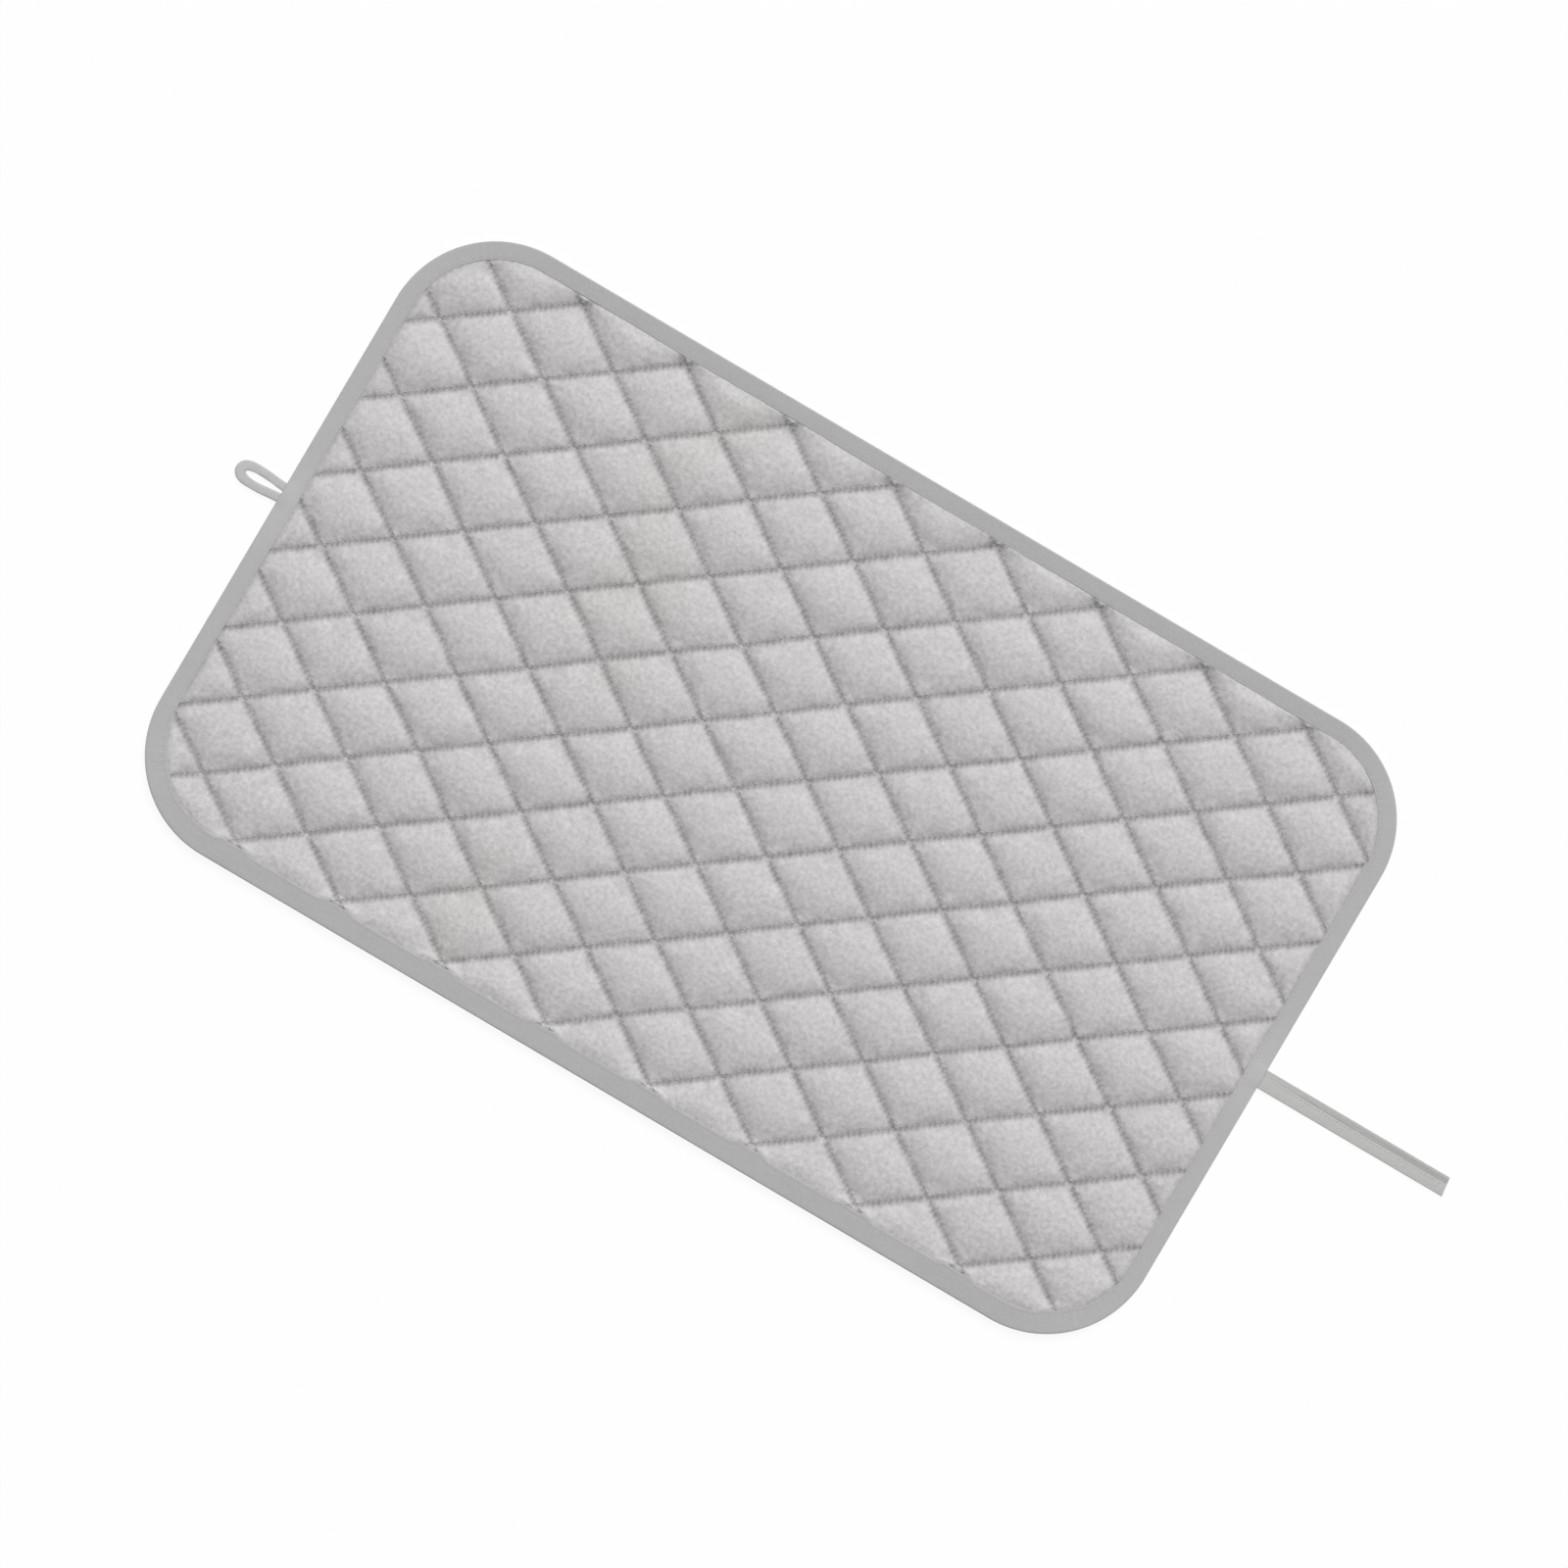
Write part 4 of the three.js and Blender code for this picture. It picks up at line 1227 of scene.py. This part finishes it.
def fold_marks(tree, place):
    """Where the cloth has yellowed along the two folds that it was packed with, from 0 to 1."""
    along = add(tree, "SeparateXYZ", {"Vector": place}).outputs["X"]
    marks = []
    for middle, share in FOLD_MARKS:
        past = work(tree, "DIVIDE", work(tree, "SUBTRACT", along, middle), FOLD_MARK_REACH)
        marks.append(work(tree, "MULTIPLY", bell(tree, past), share))
    return work(tree, "ADD", *marks)


# Painted shade along the binding's inner edge: how far it reaches, and how strong it is at the pad's ends
# and along its long sides
EDGE_SHADE_REACH = 2.2 * MM
END_SHADE = 0.27
SIDE_SHADE = 0.04


def binding_shade(tree, place):
    """Painted shade along the inner edge of the binding: 1 at the edge, falling softly to 0 on both sides.
    """
    radius = CORNER_RADIUS - BINDING_WIDTH
    middle = (0, (FRONT_BINDING_WIDTH - BINDING_WIDTH) / 2, 0)
    straight = (PAD_LENGTH / 2 - CORNER_RADIUS, PAD_WIDTH / 2 - CORNER_RADIUS - middle[1], 0)
    one_corner = vector_work(tree, "ABSOLUTE", vector_work(tree, "SUBTRACT", place, middle))
    past = vector_work(tree, "SUBTRACT", one_corner, straight)
    split = add(tree, "SeparateXYZ", {"Vector": past}).outputs
    squares = []
    for axis in ("X", "Y"):
        beyond = work(tree, "MAXIMUM", split[axis], 0.0)
        squares.append(work(tree, "MULTIPLY", beyond, beyond))
    outside = work(tree, "SQRT", work(tree, "ADD", *squares))
    within = work(tree, "MINIMUM", work(tree, "MAXIMUM", split["X"], split["Y"]), 0.0)
    depth = work(tree, "SUBTRACT", work(tree, "SUBTRACT", radius, outside), within)
    return bell(tree, work(tree, "DIVIDE", depth, EDGE_SHADE_REACH))


def at_ends(tree, place):
    """0 along the pad's two long sides and 1 along its two ends."""
    along = work(tree, "ABSOLUTE", add(tree, "SeparateXYZ", {"Vector": place}).outputs["X"])
    return spread(tree, along, PAD_LENGTH / 2 - CORNER_RADIUS, PAD_LENGTH / 2 - BINDING_WIDTH)


SILVER_TINT = (2.5, 1.3)  # levels of red and of blue above the green
SILVER_LEVELS = (173, 208)
YELLOWED_TINT = (0, -5)
YELLOWED_LEVELS = (171, 206)
PATCH_BLOTCHES = (0.25, 0.8)  # yellowed patches grow between these values of the blotches
PATCH_STRENGTHS = (0.05, 0.75)
# Colour of the painted shade, and how strongly the seams' creases are painted with it
PAINTED_SHADE_LEVEL = 96
CREASE_SHADE_STRENGTH = 0.61
SILVER_ROUGHNESS = (0.5, 0.68)
SILVER_METALLIC = 0.12
SILVER_WEAVE = 0.05 * MM
SILVER_GRAIN = 0.2 * MM
SILVER_RELIEF = 0.6  # strength of the weave and the grain
DENT_DEPTH = 0.25 * MM
DENT_RELIEF = 0.8


def silver_cloth():
    """Coated cloth with a dull silver sheen, yellowed at the folds, with painted shade in the creases of
    the seams and along the binding's inner edge.
    """
    material, tree, shader, place = new_material("silver_cloth")
    sewn = add(tree, "UVMap", uv_map="seams").outputs["UV"]
    grain = use_group(tree, GRAIN, Place=place, Grains_per_metre=330.0, Blotches_per_metre=11.0)
    crease = use_group(tree, CREASE_SHADE, Place=sewn, Reach=1.8 * MM, Lean=1.1 * MM, Unevenness=0.48)
    weave = use_group(tree, WEAVE, Place=place, Threads_per_metre=2600.0)
    silver = [grey(level, *SILVER_TINT) for level in SILVER_LEVELS]
    yellow = [grey(level, *YELLOWED_TINT) for level in YELLOWED_LEVELS]
    base = blend_colours(tree, grain["Grain"], *silver)
    yellowed = blend_colours(tree, grain["Grain"], *yellow)
    patches = spread(tree, grain["Blotch"], *PATCH_BLOTCHES, *PATCH_STRENGTHS)
    base = blend_colours(tree, work(tree, "MULTIPLY", fold_marks(tree, place), patches), base, yellowed)
    # Painted shade along the binding's inner edge, stronger at the pad's ends than along its long sides
    strength = spread(tree, at_ends(tree, place), 0, 1, SIDE_SHADE, END_SHADE)
    edge = work(tree, "MULTIPLY", binding_shade(tree, place), strength)
    # Painted shade of the seams' creases and of the binding's inner edge, in one darker colour
    dark = work(tree, "MAXIMUM", work(tree, "MULTIPLY", crease["Crease"], CREASE_SHADE_STRENGTH), edge)
    base = blend_colours(tree, dark, base, grey(PAINTED_SHADE_LEVEL, *SILVER_TINT))
    tree.links.new(base, shader.inputs["Base Color"])
    tree.links.new(spread(tree, grain["Grain"], 0, 1, *SILVER_ROUGHNESS), shader.inputs["Roughness"])
    shader.inputs["Metallic"].default_value = SILVER_METALLIC
    normal = bump(tree, weave["Height"], SILVER_WEAVE, SILVER_RELIEF)
    normal = bump(tree, grain["Grain"], SILVER_GRAIN, SILVER_RELIEF, normal)
    dents = work(tree, "SUBTRACT", 1.0, crease["Dents"])
    normal = bump(tree, dents, DENT_DEPTH, DENT_RELIEF, normal)
    tree.links.new(normal, shader.inputs["Normal"])
    return material


TAPE_ROUGHNESS = 0.82
TAPE_SHEEN = 0.15
TAPE_GRAIN = 6  # levels by which the grain is darker and lighter
TAPE_GRAIN_DEPTH = 0.08 * MM
TAPE_GRAIN_RELIEF = 0.5
TAPE_WEAVE_RELIEF = 0.8
TAPE_BLOTCH_LIGHTER = 5
TAPE_BLOTCH_SHARE = 0.25
GAP_TOP = 0.6  # height in the weave below which the painted shade of the gaps between threads begins
GAP_SHADE_LEVELS = 45
GAP_SHADE_STRENGTH = 4 / MM  # for each metre of the weave's depth
# Painted light along the pad's two ends: how many levels lighter, how far from the middle, and the least
# share away from it
END_LIGHT_LEVELS = 16
END_LIGHT_REACH = 28 * MM
END_LIGHT_LEAST = 0.4


def tape_cloth(name, level, threads, depth, mapped=True, blue=0, end_light=0.0):
    """Plain woven tape of a grey level, with painted shade in the gaps between its threads and painted
    light along the pad's two ends.
    """
    def shade(step):
        return grey(level + step, blue=blue)

    material, tree, shader, place = new_material(name)
    woven = add(tree, "UVMap", uv_map="tape").outputs["UV"] if mapped else place
    grain = use_group(tree, GRAIN, Place=place, Grains_per_metre=520.0, Blotches_per_metre=30.0)
    weave = use_group(tree, WEAVE, Place=woven, Threads_per_metre=threads)
    base = blend_colours(tree, grain["Grain"], shade(-TAPE_GRAIN), shade(TAPE_GRAIN))
    # Painted shade in the gaps between the threads
    gaps = spread(tree, weave["Height"], 0, GAP_TOP, GAP_SHADE_STRENGTH * depth, 0.0)
    base = blend_colours(tree, gaps, base, shade(-GAP_SHADE_LEVELS))
    blotches = spread(tree, grain["Blotch"], 0, 1, 0, TAPE_BLOTCH_SHARE)
    base = blend_colours(tree, blotches, base, shade(TAPE_BLOTCH_LIGHTER))
    # Painted light: the tape is lighter along the pad's two ends, most near the middle of each end
    across_pad = add(tree, "SeparateXYZ", {"Vector": place}).outputs["Y"]
    near_middle = bell(tree, work(tree, "DIVIDE", across_pad, END_LIGHT_REACH))
    end_lit = spread(tree, near_middle, 0, 1, END_LIGHT_LEAST * end_light, end_light)
    end_lit = work(tree, "MULTIPLY", end_lit, at_ends(tree, place))
    base = blend_colours(tree, end_lit, base, shade(END_LIGHT_LEVELS))
    tree.links.new(base, shader.inputs["Base Color"])
    shader.inputs["Roughness"].default_value = TAPE_ROUGHNESS
    shader.inputs["Sheen Weight"].default_value = TAPE_SHEEN
    normal = bump(tree, weave["Height"], depth, TAPE_WEAVE_RELIEF)
    normal = bump(tree, grain["Grain"], TAPE_GRAIN_DEPTH, TAPE_GRAIN_RELIEF, normal)
    tree.links.new(normal, shader.inputs["Normal"])
    return material


FIBRE_BLOTCH_SHARE = 0.2
FIBRE_SHEEN = 0.2
THREAD_FIBRES = {"fibres": 2600.0, "depth": 0.012 * MM, "roughness": 0.7}


def fibre_cloth(name, low, high, fibres, depth, roughness=0.95):
    """Wadding, felt or thread: fibres from a dark colour to a light one, with darker blotches."""
    material, tree, shader, place = new_material(name)
    fuzz = use_group(tree, FUZZ, Place=place, Fibres_per_metre=fibres)
    grain = use_group(tree, GRAIN, Place=place, Grains_per_metre=160.0, Blotches_per_metre=20.0)
    base = blend_colours(tree, fuzz["Fibre"], low, high)
    blotches = spread(tree, grain["Blotch"], 0, 1, 0, FIBRE_BLOTCH_SHARE)
    base = blend_colours(tree, blotches, base, low)
    tree.links.new(base, shader.inputs["Base Color"])
    shader.inputs["Roughness"].default_value = roughness
    shader.inputs["Sheen Weight"].default_value = FIBRE_SHEEN
    tree.links.new(bump(tree, fuzz["Fibre"], depth), shader.inputs["Normal"])
    return material


def paint(material, *pieces):
    """The finish of one or more pieces."""
    for piece in pieces:
        piece.data.materials.append(material)


paint(silver_cloth(), quilted_cover)
paint(fibre_cloth("wadding_fibre", grey(215), grey(240), fibres=700.0, depth=0.3 * MM), wadding_fill)
paint(fibre_cloth("grey_felt", grey(140), grey(172), fibres=1100.0, depth=0.2 * MM), felt_back)
quilt_thread = fibre_cloth("quilt_thread", grey(150), grey(174), **THREAD_FIBRES)
paint(quilt_thread, *quilting_stitches, bobbin_stitches)
paint(tape_cloth("binding_tape", level=180, threads=2200.0, depth=0.062 * MM, end_light=0.7), binding_tape)
binding_thread = fibre_cloth("binding_thread", grey(164), grey(184), **THREAD_FIBRES)
paint(binding_thread, *binding_stitches, strap_stitches)
paint(tape_cloth("loop_cloth", level=197, threads=2000.0, depth=0.075 * MM), loop_cord)
strap_cloth = tape_cloth("strap_tape", level=191, threads=2000.0, depth=0.03 * MM, mapped=False, blue=-2)
paint(strap_cloth, strap_tape)


# Light, floor and background

KEY_TILT = math.radians(40)
KEY_SOFTNESS = math.radians(32)
KEY_POWER = 2.75
FILL_LEVEL = 0.25
FLOOR_SIZE = 12
FLOOR_DROP = 0.4 * MM
FLOOR_LEVEL = 0.95
BACKGROUND_SHARE = 0.92


def make_key_light():
    """One even soft light from the pad's back side, as the shading of the quilted cells shows."""
    data = bpy.data.lights.new("soft_key", "SUN")
    data.angle = KEY_SOFTNESS
    data.energy = KEY_POWER
    light = bpy.data.objects.new("soft_key", data)
    light.rotation_euler = (-KEY_TILT, 0, 0)
    bpy.context.collection.objects.link(light)


def seen_straight(tree):
    """1 where the camera looks, also by a reflection or through something, and 0 for light that spreads."""
    path = add(tree, "LightPath").outputs
    both = work(tree, "MAXIMUM", path["Is Camera Ray"], path["Is Glossy Ray"])
    return work(tree, "MAXIMUM", both, path["Is Transmission Ray"])


def make_world():
    world = bpy.data.worlds.new("studio")
    bpy.context.scene.world = world
    world.use_nodes = True
    tree = world.node_tree
    fill = tree.nodes["Background"]
    strength = spread(tree, seen_straight(tree), 0, 1, FILL_LEVEL, 1.0)
    fill.inputs["Color"].default_value = WHITE
    tree.links.new(strength, fill.inputs["Strength"])


def make_floor():
    half = FLOOR_SIZE / 2
    square = ((-half, -half), (half, -half), (half, half), (-half, half))
    corners = [(x, y, -FLOOR_DROP) for x, y in square]
    floor = mesh_piece("floor", corners, [[0, 1, 2, 3]])
    material = bpy.data.materials.new("white_floor")
    material.use_nodes = True
    tree = material.node_tree
    tree.nodes.clear()
    lit = add(tree, "BsdfDiffuse", {"Color": (FLOOR_LEVEL, FLOOR_LEVEL, FLOOR_LEVEL, 1)})
    bright = add(tree, "Emission", {"Color": WHITE, "Strength": 1.0})
    share = work(tree, "MULTIPLY", seen_straight(tree), BACKGROUND_SHARE)
    mix = add(tree, "MixShader", {0: share, 1: lit.outputs[0], 2: bright.outputs[0]})
    out = add(tree, "OutputMaterial")
    tree.links.new(mix.outputs[0], out.inputs["Surface"])
    floor.data.materials.append(material)


make_key_light()
make_world()
make_floor()
bpy.context.scene.view_settings.view_transform = "Standard"
